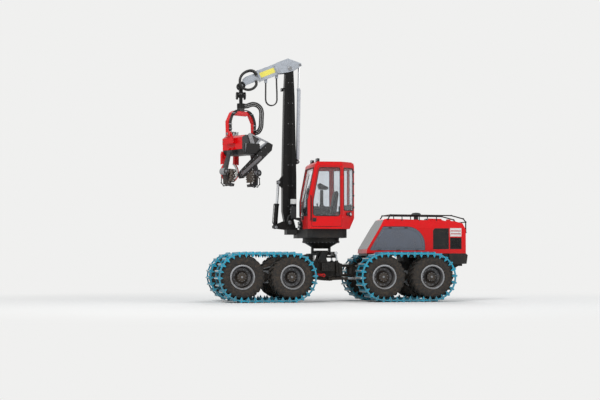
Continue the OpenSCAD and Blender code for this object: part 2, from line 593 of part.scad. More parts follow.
module extension() color([0.74, 0.76, 0.79]) outer_pose() {
    block(350, outer_len - 225, -ext_half, ext_half, 5 + fit, 250);
    side(2 - ext_half, ext_half - 2) polygon([[outer_len - 235, 10], [outer_len - 235, 248],
        [outer_len - 135, 220], [outer_len - 115, 120], [outer_len - 155, 20]]);
    for (e = [[60, 95], [-95, -60]]) side(e[0], e[1]) polygon([[outer_len - 215, 20],
        [outer_len - 215, 200], [outer_len + 40, 130],
        [outer_len + 90, 33], [outer_len + 40, -50], [outer_len - 60, -50]]);
    bar_y(outer_len, 33, 35, -100, 100);
}
module tip_link() color([0.08, 0.08, 0.09]) translate([tip_x, boom_y, tip_z]) difference() {
    union() {
        bar_y(0, 0, 85, -57, 57);
        block(-55, 55, -57, 57, -260, 0);
        for (d = [-80, 50]) block(d, d + 30, -60, 60, -330, -200);
        bar_x(0, -300, 60, -80, 80);
        block(-80, 80, -60, 60, -230, -190);
    }
    bar_y(0, 0, 35 + fit, -100, 100);
    block(-50, 50, -70, 70, -400, -232);
    bar_x(0, -300, 30 + fit, -100, 100);
}
module swing_link() color([0.08, 0.08, 0.09]) translate([tip_x, boom_y, tip_z]) {
    bar_x(0, -300, 30, -85, 85);
    bar_x(0, -300, 58, -49, 49);
    block(-49, 49, -55, 55, -560, -300);
    bar_z(0, 0, 120, -rotator_drop + 90, -540);
}
// Frame of the felling head: the rotator's axis at the origin, the feed line along X, the saw at +X
module head_pose() translate([tip_x, boom_y, 0]) rotate([0, 0, head_turn]) children();
module rotator() color([0.20, 0.20, 0.22]) head_pose() {
    bar_z(0, 0, 115, flange_z, flange_z + 90 - fit);
}
yoke_y = 500;
module head_yoke() color([0.80, 0.05, 0.07]) head_pose() {
    cross(-75, 75) polygon([[-yoke_y - 30, tilt_z - 60], [-yoke_y - 45, tilt_z + 380], [-400, flange_z - 60],
        [-300, flange_z - seat_gap], [300, flange_z - seat_gap], [400, flange_z - 60], [yoke_y + 45, tilt_z + 380],
        [yoke_y + 30, tilt_z - 60], [yoke_y - 30, tilt_z - 60], [yoke_y - 50, tilt_z + 360], [320, flange_z - 120],
        [250, flange_z - 90], [-250, flange_z - 90], [-320, flange_z - 120], [-yoke_y + 50, tilt_z + 360],
        [-yoke_y + 30, tilt_z - 60]]);
    for (e = [[-yoke_y - 35, -yoke_y + 110], [yoke_y - 110, yoke_y + 35]]) bar_y(0, tilt_z, 35, e[0], e[1]);
    // bosses at the pins and ribs along the bridge
    for (e = [[-yoke_y - 34, -yoke_y - 20], [yoke_y + 20, yoke_y + 34]]) bar_y(0, tilt_z, 70, e[0], e[1]);
    for (x = [-60, 48]) cross(x, x + 12) polygon([[-380, flange_z - 60], [-290, flange_z - 5], [290, flange_z - 5],
        [380, flange_z - 60], [240, flange_z - 135], [-240, flange_z - 135]]);
}
// Axes of the head's arms, and the line that a stem takes
arm_py = 240;
arm_pz = tilt_z - 560;
feed_py = 400;
feed_pz = tilt_z - 560;
saw_py = -450;
saw_pz = tilt_z - 1290;
stem_z = tilt_z - 1130;
module head_body() color([0.22, 0.22, 0.24]) head_pose() difference() {
    union() {
        cross(-480, 480) polygon([[-330, tilt_z - 480], [-330, tilt_z - 120], [-200, tilt_z - 40],
            [200, tilt_z - 40], [330, tilt_z - 120], [330, tilt_z - 480], [200, tilt_z - 640],
            [-200, tilt_z - 640]]);
        for (e = [[-448, -400], [400, 448]]) side(e[0], e[1]) polygon([[-80, tilt_z], [-40, tilt_z + 70],
            [40, tilt_z + 70], [80, tilt_z], [200, tilt_z - 300], [-200, tilt_z - 300]]);
        block(-150, 150, -420, 420, tilt_z - 300, tilt_z - 200);
        // saw box across the butt end
        cross(520, 590) polygon([[-470, tilt_z - 1180], [-560, tilt_z - 1290], [-470, tilt_z - 1400],
            [-340, tilt_z - 1380], [760, tilt_z - 480], [800, tilt_z - 300], [640, tilt_z - 240],
            [330, tilt_z - 480]]);
        block(470, 530, -200, 330, tilt_z - 600, tilt_z - 300);
        both() bar_x(arm_py, arm_pz, 30 - fit, -605, -470);
        // ears and pins of the feed arms
        both() for (u = [-120, 90]) cross(u, u + 30) polygon([[250, feed_pz + 220], [feed_py + 40, feed_pz + 60],
            [feed_py + 60, feed_pz - 20], [feed_py + 20, feed_pz - 60], [150, feed_pz - 60]]);
        both() bar_x(feed_py, feed_pz, 25, -125, 125);
        bar_x(saw_py, saw_pz, 30, 580, 615);
        lattice();
        hose_ports();
    }
    for (e = [-1, 1]) bar_y(0, tilt_z, 35 + fit, e > 0 ? 380 : -480, e > 0 ? 480 : -380);
}
// Open triangular bracket between the head's frame and the top of the saw box
module lattice() difference() {
    cross(492, 512) polygon([[-120, tilt_z - 20], [-40, tilt_z + 20], [690, tilt_z - 215], [700, tilt_z - 270],
        [200, tilt_z - 560], [80, tilt_z - 540]]);
    cross(480, 520) polygon([[40, tilt_z - 50], [330, tilt_z - 150], [150, tilt_z - 330]]);
    cross(480, 520) polygon([[400, tilt_z - 180], [580, tilt_z - 235], [240, tilt_z - 430], [190, tilt_z - 370]]);
}
// Couplings on the frame's top, where the head's hoses end
module hose_ports() for (y = [-120 : 60 : 120]) bar_z(-300, y, 20, tilt_z - 45, tilt_z - 5);
// Curved delimbing knife at the front end; s is its side
module knife(s) color([0.80, 0.05, 0.07]) head_pose() on_side(s) difference() {
    union() {
        translate([-600, 0, stem_z]) rotate([90, 0, 90]) rotate_extrude_arc(-58, 60, 290, 325, 100);
        cross(-596, -504) polygon([[arm_py - 70, arm_pz - 20], [arm_py - 20, arm_pz + 60], [arm_py + 60, arm_pz + 60],
            [arm_py + 90, arm_pz - 30], [330, stem_z + 230], [160, stem_z + 265]]);
        bar_x(arm_py, arm_pz, 60, -600, -500);
    }
    bar_x(arm_py, arm_pz, 30, -700, -400);
}
// Ring segment in X and Y from angle a0 to a1, between two radii, h high
module rotate_extrude_arc(a0, a1, r0, r1, h) rotate([0, 0, a0]) rotate_extrude(angle = a1 - a0)
    translate([r0, 0]) square([r1 - r0, h]);
module feed_arm(s) color([0.18, 0.18, 0.20]) head_pose() on_side(s) difference() {
    union() {
        cross(-80, 80) polygon([[feed_py - 40, feed_pz - 40], [feed_py, feed_pz + 50], [feed_py + 60, feed_pz + 20],
            [650, stem_z + 50], [620, stem_z - 420], [330, stem_z - 480], [300, stem_z - 400], [540, stem_z - 350],
            [560, stem_z + 30], [feed_py + 40, feed_pz - 60]]);
        bar_x(feed_py, feed_pz, 60, -85, 85);
        // motor housing at the elbow, and the guard loop outside the roller
        bar_x(645, stem_z - 30, 105, -105, 105);
        guard();
    }
    bar_x(feed_py, feed_pz, 25 + fit, -200, 200);
    roller_pose() bar_z(0, 0, 30 + fit, -400, -212);
}
module guard() for (x = [-70, 70]) tube_loop([[x, 600, stem_z - 100], [x, 690, stem_z - 200], [x, 700, stem_z - 380],
    [x, 610, stem_z - 470], [x, 480, stem_z - 450]], 14);
module tube_loop(p, r) {
    for (i = [0 : len(p) - 2]) tube(p[i], p[i + 1], r);
    for (i = [1 : len(p) - 2]) bar_x(p[i].y, p[i].z, r + 3, p[i].x - r - 2, p[i].x + r + 2);
}
// Teeth round a roller
roller_teeth = 10;
// A roller's axis along Z, on the left side of the head
module roller_pose() translate([0, 370, stem_z - 130]) rotate([8, 0, 0]) children();
module roller(s) color([0.12, 0.12, 0.12]) head_pose() on_side(s) roller_pose() {
    bar_z(0, 0, 120, -205, 175);
    bar_z(0, 0, 30, -330, -200);
    // rows of teeth, each row turned by half a pitch
    for (k = [0 : 4], i = [0 : roller_teeth - 1]) rotate([0, 0, (i + (k % 2) / 2) * 360 / roller_teeth])
        plan(-190 + 74 * k, -160 + 74 * k) polygon([[112, -16], [142, 0], [112, 16]]);
}
module saw_bar() color([0.6, 0.6, 0.62]) head_pose() difference() {
    cross(600, 612) polygon([[saw_py - 50, saw_pz - 10], [saw_py - 10, saw_pz - 50], [320, tilt_z - 760],
        [350, tilt_z - 690], [280, tilt_z - 670], [saw_py - 30, saw_pz + 45]]);
    bar_x(saw_py, saw_pz, 30 + fit, 590, 620);
}

// Hoses

function unit(v) = v / norm(v);
function along(p, i) = unit(p[min(i + 1, len(p) - 1)] - p[max(i - 1, 0)]);
// The route p moved by d across its plane, whose normal is w
function beside(p, w, d) = [for (i = [0 : len(p) - 1]) let (k = i < 2 ? 0 : i > len(p) - 3 ? len(p) - 1 : i)
    p[i] + d * unit(cross(w, along(p, k)))];
// Tube of radius r that follows the route p in a plane of normal w
module hose(p, w, r, sides = 10) {
    n = len(p);
    rings = [for (i = [0 : n - 1]) let (t = along(p, i), u = unit(cross(w, t)), v = cross(t, u))
        for (k = [0 : sides - 1]) p[i] + r * (cos(360 * k / sides) * u + sin(360 * k / sides) * v)];
    walls = [for (i = [0 : n - 2], k = [0 : sides - 1]) let (a = i * sides + k, d = i * sides + (k + 1) % sides)
        for (f = [[a, a + sides, d + sides], [a, d + sides, d]]) f];
    ends = [[for (k = [0 : sides - 1]) k], [for (k = [sides - 1 : -1 : 0]) (n - 1) * sides + k]];
    polyhedron(rings, concat(walls, ends));
}
// Route of the loop under the outer boom, from the knuckle's pin
loop_route = [[390, 0, -305], [390, 0, -380], [388, 0, -470], [383, 0, -600], [377, 0, -740], [376, 0, -880],
    [376, 0, -975], [400, 0, -1063], [464, 0, -1128], [553, 0, -1152], [641, 0, -1128], [706, 0, -1063],
    [730, 0, -975], [732, 0, -820], [731, 0, -640], [730, 0, -540], [730, 0, -450]];
loop_hose_r = 20;
module hose_loop() color([0.05, 0.05, 0.05]) for (d = [-28, 28]) translate([foot_x, boom_y + d, knee_z])
    hose(loop_route, [0, 1, 0], loop_hose_r);
// Route of the hoses from the link's housing round to the head's yoke, from the rotator's flange
head_route = [[73.5, 95.3, 170], [86, 111, 170], [123, 160, 177], [159, 206, 199], [218, 283, 227], [282, 365, 215],
    [337, 437, 164], [376, 487, 81], [392, 508, -34], [391, 507, -150], [388, 503, -270], [385, 500, -378],
    [365, 500, -478], [308, 500, -563], [223, 500, -620], [123, 500, -640], [75.3, 500, -640]];
head_hose_r = 24;
head_plane = [0.792, -0.61, 0];
module hose_head() color([0.05, 0.05, 0.05]) head_pose() translate([0, 0, flange_z]) for (d = [-52, 0, 52])
    hose(beside(head_route, head_plane, d), head_plane, head_hose_r);

// Cab, on the platform

module cab_side(t) polygon([[slew_x + 600 - t, cab_z + t + seat_gap], [slew_x + 600 - t, cab_z + 850],
    [slew_x + 390 - t, cab_z + cab_h - 50 - t / 2], [slew_x + 340 - t, cab_z + cab_h - t],
    [slew_x - 870 + t, cab_z + cab_h - t], [slew_x - 900 + t, cab_z + cab_h - 90],
    [slew_x - 900 + t, cab_z + 330], [slew_x - 720 + t, cab_z + t + seat_gap]]);
module cab_top(t) polygon([[slew_x + 600, -cab_half + 110 + t], [slew_x + 540, -cab_half + t],
    [slew_x - 450, -cab_half + t], [slew_x - 900, -cab_half + 400 + t * 0.8], [slew_x - 900, cab_half - 400 - t * 0.8],
    [slew_x - 450, cab_half - t], [slew_x + 540, cab_half - t], [slew_x + 600, cab_half - 110 - t]]);
module cab_form(t) translate([0, cab_y, 0]) intersection() {
    side(-cab_half, cab_half) cab_side(t);
    plan(cab_z, cab_z + cab_h) cab_top(t);
}
// Openings: rear, windscreen, both sides, both rear corners
door_x0 = slew_x - 430;
door_x1 = slew_x + 500;
hinge_x = door_x0 - 5;
hinge_y = cab_y + cab_half + 16;
hinge_zs = [cab_z + 350, cab_z + 1550];
module door_outline_2d(g) polygon([[door_x0 + g, cab_z + 70 + g], [door_x1 - g, cab_z + 70 + g],
    [door_x1 - g, cab_z + 850], [slew_x + 300 - g, cab_z + cab_h - 110 - g], [door_x0 + g, cab_z + cab_h - 110 - g]]);
module side_window(g) polygon([[slew_x - 370 + g, cab_z + 440 + g], [slew_x - 320 + g, cab_z + 390 + g],
    [slew_x + 400 - g, cab_z + 390 + g], [slew_x + 450 - g, cab_z + 440 + g], [slew_x + 450 - g, cab_z + 840],
    [slew_x + 265 - g, cab_z + cab_h - 160 - g], [slew_x - 370 + g, cab_z + cab_h - 160 - g]]);
corner_turn = atan2(400, 450);
module cab_openings(g) translate([0, cab_y, 0]) {
    side(-cab_half - 20, -cab_half + 70) side_window(g);
    // windscreen, rear window and rear corners
    block(slew_x + 200, slew_x + 700, -cab_half + 130 + g, cab_half - 130 - g, cab_z + 400 + g,
        cab_z + cab_h - 150 - g);
    block(slew_x - 950, slew_x - 800, -290 + g, 290 - g, cab_z + 560 + g, cab_z + cab_h - 160 - g);
    both() translate([slew_x - 675, cab_half - 200, 0]) rotate([0, 0, corner_turn])
        block(-240 + g, 240 - g, -60, 60, cab_z + 560 + g, cab_z + cab_h - 160 - g);
}
module cab_shell() color([0.82, 0.03, 0.06]) {
    difference() {
        cab_form(0);
        cab_form(cab_wall);
        cab_openings(0);
        translate([0, cab_y, 0]) side(cab_half - 70, cab_half + 20) door_outline_2d(0);
    }
    roof();
    for (z = hinge_zs) {
        bar_z(hinge_x, hinge_y, 9, z - 60, z + 60);
        for (d = [-60, 25]) {
            bar_z(hinge_x, hinge_y, 15, z + d, z + d + 35);
            block(hinge_x - 45, hinge_x, hinge_y - 20, hinge_y + 13, z + d, z + d + 35);
        }
    }
}
// Roof cap with a hatch and four work lamps along its front edge, and two lamps low on each rear corner
roof_z = cab_z + cab_h;
module roof() translate([0, cab_y, 0]) {
    plan(roof_z - 20, roof_z + 30) polygon([[slew_x + 300, -cab_half + 130], [slew_x + 300, cab_half - 130],
        [slew_x - 430, cab_half - 70], [slew_x - 840, cab_half - 420], [slew_x - 840, 420 - cab_half],
        [slew_x - 430, 70 - cab_half]]);
    block(slew_x - 420, slew_x + 80, -260, 260, roof_z + 20, roof_z + 55);
    for (y = [-480, -320, 320, 480]) {
        block(slew_x + 210, slew_x + 290, y - 12, y + 12, roof_z + 20, roof_z + 60);
        lamp_x(y, roof_z + 90, slew_x + 210, slew_x + 290);
    }
    both() for (d = [-70, 70]) translate([slew_x - 675, cab_half - 200, 0]) rotate([0, 0, 90 + corner_turn])
        lamp_x(d, cab_z + 450, -20, 42);
}
module cab_door() color([0.82, 0.03, 0.06]) difference() {
    union() {
        translate([0, cab_y, 0]) difference() {
            side(cab_half - cab_wall, cab_half) door_outline_2d(5);
            side(cab_half - 70, cab_half + 20) side_window(0);
        }
        for (z = hinge_zs) {
            bar_z(hinge_x, hinge_y, 15, z - 24, z + 24);
            block(hinge_x, hinge_x + 70, hinge_y - 15, hinge_y - 2, z - 24, z + 24);
            block(door_x0 + 10, hinge_x + 70, hinge_y - 20, hinge_y - 2, z - 24, z + 24);
        }
    }
    for (z = hinge_zs) bar_z(hinge_x, hinge_y, 9 + fit, z - 30, z + 30);
}
module door_glass() color([0.25, 0.28, 0.32, 0.5]) translate([0, cab_y, 0])
    side(cab_half - 26, cab_half - 20) side_window(seat_gap);
module cab_glass() color([0.25, 0.28, 0.32, 0.5]) intersection() {
    difference() { cab_form(20); cab_form(26); }
    cab_openings(seat_gap);
}
module cab_seat() color([0.12, 0.12, 0.13]) translate([slew_x - 150, cab_y, cab_z + cab_wall + 2 * seat_gap]) {
    block(-200, 200, -200, 200, 0, 260);
    block(-260, 260, -260, 260, 250, 420);
    side(-250, 250) polygon([[-240, 400], [-330, 1080], [-250, 1160], [-190, 1140], [-110, 400]]);
    for (e = [-380, 280]) block(-200, 330, e, e + 100, 560, 650);
    for (e = [-300, 230]) block(-120, -40, e - 30, e + 90, 300, 580);
    for (y = [-330, 330]) bar_z(280, y, 22, 640, 740);
    // screen on its post, to the right of the windscreen's middle
    block(540, 575, -470, -430, 0, 1100);
    block(520, 550, -560, -300, 1020, 1230);
}

mid_frame();
front_arm();
arm_barrels();
arm_rods();
bogie(front_x, 1);  // bogie_fl
bogie(front_x, -1);  // bogie_fr
bogie(rear_x, 1);  // bogie_rl
bogie(rear_x, -1);  // bogie_rr
tyre_pair(front_x, 1);  // tyres_fl
tyre_pair(front_x, -1);  // tyres_fr
tyre_pair(rear_x, 1);  // tyres_rl
tyre_pair(rear_x, -1);  // tyres_rr
track(front_x, 1);  // track_fl
track(front_x, -1);  // track_fr
track(rear_x, 1);  // track_rl
track(rear_x, -1);  // track_rr
joint_block();
steer_barrel(1);  // steer_barrel_l
steer_barrel(-1);  // steer_barrel_r
steer_rod(1);  // steer_rod_l
steer_rod(-1);  // steer_rod_r
rear_frame();
engine_block();
hood_shell();
hood_panels();
hood_rail();
intake();
level_yoke();
level_barrels();
level_rods();
slew_ring();
platform();
cab_shell();
cab_door();
door_glass();
cab_glass();
cab_seat();
crane_base();
lift_barrel();
lift_rod();
main_boom();
stick_barrel();
stick_rod();
outer_boom();
extension();
tip_link();
swing_link();
rotator();
head_yoke();
head_body();
knife(1);  // knife_l
knife(-1);  // knife_r
feed_arm(1);  // feed_arm_l
feed_arm(-1);  // feed_arm_r
roller(1);  // roller_l
roller(-1);  // roller_r
saw_bar();
hose_loop();
hose_head();
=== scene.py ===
import math

import bmesh
import bpy
from mathutils import Matrix, Vector


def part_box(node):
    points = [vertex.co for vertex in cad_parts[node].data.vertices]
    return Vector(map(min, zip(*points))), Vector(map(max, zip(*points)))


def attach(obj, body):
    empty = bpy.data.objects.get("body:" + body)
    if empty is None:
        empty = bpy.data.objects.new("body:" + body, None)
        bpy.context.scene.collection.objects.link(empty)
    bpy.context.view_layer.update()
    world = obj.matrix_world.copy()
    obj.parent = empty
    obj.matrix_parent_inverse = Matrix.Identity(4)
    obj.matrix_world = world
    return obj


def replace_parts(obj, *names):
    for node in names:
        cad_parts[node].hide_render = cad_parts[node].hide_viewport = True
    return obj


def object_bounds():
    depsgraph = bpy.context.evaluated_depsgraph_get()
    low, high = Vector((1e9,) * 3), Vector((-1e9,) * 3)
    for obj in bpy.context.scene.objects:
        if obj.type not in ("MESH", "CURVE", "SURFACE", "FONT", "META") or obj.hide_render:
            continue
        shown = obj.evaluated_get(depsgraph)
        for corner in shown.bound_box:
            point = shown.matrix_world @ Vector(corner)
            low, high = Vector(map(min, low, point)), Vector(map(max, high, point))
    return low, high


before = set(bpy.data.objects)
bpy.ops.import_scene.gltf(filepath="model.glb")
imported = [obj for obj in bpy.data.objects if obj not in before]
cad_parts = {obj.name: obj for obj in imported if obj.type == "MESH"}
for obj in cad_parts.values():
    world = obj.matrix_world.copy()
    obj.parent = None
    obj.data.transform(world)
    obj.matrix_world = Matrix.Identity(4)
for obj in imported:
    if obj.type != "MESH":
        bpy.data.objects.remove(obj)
cad_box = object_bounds()

# Places that the frame gives


def middle(node):
    low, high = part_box(node)
    return (low + high) / 2


def turned_at(x, y, angle):
    return Matrix.Translation((x, y, 0)) @ Matrix.Rotation(angle, 4, "Z")


front_x, rear_x = middle("track_fl").x, middle("track_rl").x
axle_z = middle("track_fl").z
wheel_y = middle("track_fl").y
track_r = axle_z
# (middle in X, side) of the four bogies
bogies = {"fl": (front_x, 1), "fr": (front_x, -1), "rl": (rear_x, 1), "rr": (rear_x, -1)}
tail_x = cad_box[0].x
wheel_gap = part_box("track_fl")[1].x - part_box("track_fl")[0].x - 2 * track_r
slew_x = middle("slew_ring").x
steer_x = rear_x + 1.475
arm_x = front_x - 1.310
foot_x = slew_x + 0.9
boom_y = -0.55
boom_z, knee_z = 2.42, 7.21
cab_z, cab_y, cab_half, cab_h = 2.2, 0.3, 0.75, 2.0
# the outer boom's dip, and the tip's pin from the knuckle's along and above the outer boom
outer_dip, reach, rise = math.radians(22), 1.615, 0.033
tip = Vector((foot_x + reach * math.cos(outer_dip) + rise * math.sin(outer_dip), boom_y,
              knee_z - reach * math.sin(outer_dip) + rise * math.cos(outer_dip)))
flange_z = tip.z - 0.785
tilt_z = flange_z - 0.72
stem_z = tilt_z - 1.13
head_pose = turned_at(tip.x, boom_y, math.radians(120))
outer_pose = Matrix.Translation((foot_x, boom_y, knee_z)) @ Matrix.Rotation(outer_dip, 4, "Y")


def in_cab(x, y, z):
    """A place given from the middle of the cab's floor."""
    return Vector((slew_x + x, cab_y + y, cab_z + z))


def cab_side(*outline):
    """An outline in X and Z, given as in_cab's places are."""
    return [(slew_x + x, cab_z + z) for x, z in outline]


def on_head(x, y, z):
    return head_pose @ Vector((x, y, z))


def head_way(x, y, z):
    return head_pose.to_3x3() @ Vector((x, y, z))


def on_outer(x, y, z):
    return outer_pose @ Vector((x, y, z))


def new_object(name, data):
    made = bpy.data.objects.new(name, data)
    bpy.context.scene.collection.objects.link(made)
    return made


# Camera: the photograph was taken from the left and a little in front, from about chest height

view_turn = math.radians(169)
view_tilt = math.radians(-2.6)
view_distance = 43.0
view_target = Vector((1.11, boom_y, 3.13))


def place_camera():
    back = Vector((math.sin(view_turn) * math.cos(view_tilt), -math.cos(view_turn) * math.cos(view_tilt),
                   math.sin(view_tilt)))
    data = bpy.data.cameras.new("camera")
    data.lens, data.sensor_width, data.clip_end = 83.0, 36.0, 200.0
    camera = new_object("camera", data)
    camera.location = view_target + back * view_distance
    camera.rotation_euler = (-back).to_track_quat("-Z", "Y").to_euler()
    bpy.context.scene.camera = camera


place_camera()

# Shader nodes and colours


def rgb(code, alpha=1.0):
    """Linear colour of an sRGB hex value."""
    parts = [int(code[i:i + 2], 16) / 255 for i in (1, 3, 5)]
    return (*[c / 12.92 if c <= 0.04045 else ((c + 0.055) / 1.055) ** 2.4 for c in parts], alpha)


def darker(code, part, lift=0.0):
    return [c * part + lift for c in rgb(code)[:3]] + [1.0]


def add(material, kind, inputs=None, **settings):
    """Adds a node with its settings, and fills its inputs with values or other nodes' outputs."""
    made = material.node_tree.nodes.new("ShaderNode" + kind)
    for name, value in settings.items():
        setattr(made, name, value)
    for name, value in (inputs or {}).items():
        if isinstance(value, bpy.types.NodeSocket):
            material.node_tree.links.new(value, made.inputs[name])
        else:
            made.inputs[name].default_value = value
    return made


def new_material(name, **shader):
    """A material with a Principled shader and the place on the object that patterns are drawn by."""
    material = bpy.data.materials.new(name)
    material.use_nodes = True
    surface = material.node_tree.nodes["Principled BSDF"]
    for socket, value in shader.items():
        surface.inputs[socket.replace("_", " ")].default_value = value
    place = add(material, "TexCoord").outputs["Object"]
    return material, surface, place


def feed(material, surface, **outputs):
    """Links outputs to the shader's sockets, with Base_Color for Base Color."""
    for socket, output in outputs.items():
        material.node_tree.links.new(output, surface.inputs[socket.replace("_", " ")])
    return material


# Materials


def soiled_paint(name, paint, roughness, dust=0.35, soil="#4A3F33", wear="#6E6F72", splash_z=1.3, splash=0.75,
                 coat=0.0, gloss=0.5):
    """Sprayed two-pack paint on steel plate: slight orange peel, clouds of dust, mud splashed up from the
    ground, and primer and steel showing where edges were knocked."""
    material, surface, place = new_material(name, Coat_Weight=coat, Coat_Roughness=0.08,
                                            Specular_IOR_Level=gloss)
    # orange peel cells of about 4 mm, drawn at 12 mm so that they show
    peel = add(material, "TexNoise", {"Vector": place, "Scale": 80.0, "Detail": 2.0})
    # cloudy dust patches of about 0.3 m
    cloud = add(material, "TexNoise", {"Vector": place, "Scale": 3.2, "Detail": 6.0, "Roughness": 0.62})
    # mud drops of 10 to 40 mm
    drops = add(material, "TexNoise", {"Vector": place, "Scale": 30.0, "Detail": 5.0, "Roughness": 0.7})
    height = add(material, "SeparateXYZ", {"Vector": place}).outputs["Z"]
    low = add(material, "MapRange", {"Value": height, "From Min": splash_z, "From Max": splash_z * 0.35,
                                     "To Max": splash}, clamp=True).outputs["Result"]
    both = add(material, "Math", {0: cloud.outputs["Fac"], 1: drops.outputs["Fac"]}, operation="MULTIPLY")
    dusty = add(material, "MapRange", {"Value": both.outputs[0], "From Min": 0.24, "From Max": 0.36,
                                       "To Max": dust}).outputs["Result"]
    muddy = add(material, "MapRange", {"Value": both.outputs[0], "From Min": 0.17,
                                       "From Max": 0.27}).outputs["Result"]
    mud = add(material, "Math", {0: muddy, 1: low}, operation="MULTIPLY").outputs[0]
    dirt = add(material, "Math", {0: mud, 1: dusty}, operation="MAXIMUM").outputs[0]
    shade = add(material, "MixRGB", {"Fac": cloud.outputs["Fac"], "Color1": rgb(paint),
                                     "Color2": darker(paint, 0.82)})
    # edges within 6 mm of a corner, broken up by the drops
    corner = add(material, "Bevel", {"Radius": 0.006}, samples=4)
    flat = add(material, "NewGeometry").outputs["Normal"]
    alike = add(material, "VectorMath", {0: corner.outputs["Normal"], 1: flat}, operation="DOT_PRODUCT")
    edge = add(material, "MapRange", {"Value": alike.outputs["Value"], "From Min": 0.985,
                                      "From Max": 0.80}).outputs["Result"]
    knocked = add(material, "MapRange", {"Value": drops.outputs["Fac"], "From Min": 0.50, "From Max": 0.62,
                                         "To Max": 0.8}).outputs["Result"]
    worn = add(material, "Math", {0: edge, 1: knocked}, operation="MULTIPLY").outputs[0]
    painted = add(material, "MixRGB", {"Fac": worn, "Color1": shade.outputs["Color"], "Color2": rgb(wear)})
    soiled = add(material, "MixRGB", {"Fac": dirt, "Color1": painted.outputs["Color"], "Color2": rgb(soil)})
    rough = add(material, "MapRange", {"Value": dirt, "From Min": 0.0, "From Max": 1.0, "To Min": roughness,
                                       "To Max": 0.85}).outputs["Result"]
    bump = add(material, "Bump", {"Height": peel.outputs["Fac"], "Strength": 0.05, "Distance": 0.002})
    caked = add(material, "Bump", {"Height": mud, "Strength": 0.6, "Distance": 0.006,
                                   "Normal": bump.outputs["Normal"]})
    return feed(material, surface, Base_Color=soiled.outputs["Color"], Roughness=rough,
                Normal=caked.outputs["Normal"])


def tyre_rubber():
    """Cured rubber, matt black, with wet soil pressed over the tread and dried paler on the flanks."""
    material, surface, place = new_material("tyre_rubber", IOR=1.52, Roughness=0.85)
    clods = add(material, "TexNoise", {"Vector": place, "Scale": 14.0, "Detail": 8.0, "Roughness": 0.68})
    film = add(material, "TexNoise", {"Vector": place, "Scale": 3.0, "Detail": 5.0})
    grain = add(material, "TexNoise", {"Vector": place, "Scale": 160.0, "Detail": 2.0})
    mud = add(material, "MapRange", {"Value": clods.outputs["Fac"], "From Min": 0.44, "From Max": 0.62,
                                     "To Min": 0.05, "To Max": 0.75}).outputs["Result"]
    part = add(material, "Math", {0: mud, 1: film.outputs["Fac"]}, operation="MULTIPLY").outputs[0]
    colour = add(material, "MixRGB", {"Fac": part, "Color1": rgb("#1E1D1C"), "Color2": rgb("#5A4A39")})
    bump = add(material, "Bump", {"Height": clods.outputs["Fac"], "Strength": 0.7, "Distance": 0.012})
    fine = add(material, "Bump", {"Height": grain.outputs["Fac"], "Strength": 0.2, "Distance": 0.002,
                                  "Normal": bump.outputs["Normal"]})
    return feed(material, surface, Base_Color=colour.outputs["Color"], Normal=fine.outputs["Normal"])


def bare_steel(name, colour, roughness, rust=0.25):
    """Forged or rolled steel, rubbed bright on its high spots and brown with rust between them."""
    material, surface, place = new_material(name, Metallic=1.0)
    blotch = add(material, "TexNoise", {"Vector": place, "Scale": 22.0, "Detail": 7.0, "Roughness": 0.7})
    grain = add(material, "TexNoise", {"Vector": place, "Scale": 220.0, "Detail": 2.0})
    rusty = add(material, "MapRange", {"Value": blotch.outputs["Fac"], "From Min": 0.5, "From Max": 0.68,
                                       "To Max": rust}).outputs["Result"]
    tint = add(material, "MixRGB", {"Fac": rusty, "Color1": rgb(colour), "Color2": rgb("#6B4A34")})
    rough = add(material, "MapRange", {"Value": blotch.outputs["Fac"], "From Min": 0.3, "From Max": 0.7,
                                       "To Min": roughness * 0.8, "To Max": min(1.0, roughness * 1.5)})
    bump = add(material, "Bump", {"Height": grain.outputs["Fac"], "Strength": 0.12, "Distance": 0.001})
    return feed(material, surface, Base_Color=tint.outputs["Color"], Roughness=rough.outputs["Result"],
                Normal=bump.outputs["Normal"])


def chrome_rod():
    """Hard chrome with a film of oil."""
    material, surface, place = new_material("hard_chrome", Metallic=1.0, Base_Color=rgb("#D5D7DA"))
    film = add(material, "TexNoise", {"Vector": place, "Scale": 60.0, "Detail": 4.0})
    rough = add(material, "MapRange", {"Value": film.outputs["Fac"], "To Min": 0.06, "To Max": 0.2})
    return feed(material, surface, Roughness=rough.outputs["Result"])


def hose_rubber():
    """Extruded hydraulic hose in a woven nylon sleeve, with dust in clouds."""
    material, surface, place = new_material("hose_rubber", IOR=1.5, Roughness=0.55)
    weave = add(material, "TexNoise", {"Vector": place, "Scale": 180.0, "Detail": 3.0})
    dust = add(material, "TexNoise", {"Vector": place, "Scale": 9.0, "Detail": 4.0})
    colour = add(material, "MixRGB", {"Fac": dust.outputs["Fac"], "Color1": rgb("#0D0D0E"),
                                      "Color2": rgb("#2B2A28")})
    bump = add(material, "Bump", {"Height": weave.outputs["Fac"], "Strength": 0.4, "Distance": 0.002})
    return feed(material, surface, Base_Color=colour.outputs["Color"], Normal=bump.outputs["Normal"])


def moulded_plastic(name, colour, roughness=0.5):
    """Injection-moulded plastic with a fine spark-eroded grain of about 1 mm, drawn at 3 mm."""
    material, surface, place = new_material(name, IOR=1.49, Roughness=roughness)
    grain = add(material, "TexVoronoi", {"Vector": place, "Scale": 330.0})
    film = add(material, "TexNoise", {"Vector": place, "Scale": 7.0, "Detail": 4.0})
    tint = add(material, "MixRGB", {"Fac": film.outputs["Fac"], "Color1": rgb(colour),
                                    "Color2": darker(colour, 0.8, 0.008)})
    bump = add(material, "Bump", {"Height": grain.outputs["Distance"], "Strength": 0.25, "Distance": 0.001})
    return feed(material, surface, Base_Color=tint.outputs["Color"], Normal=bump.outputs["Normal"])


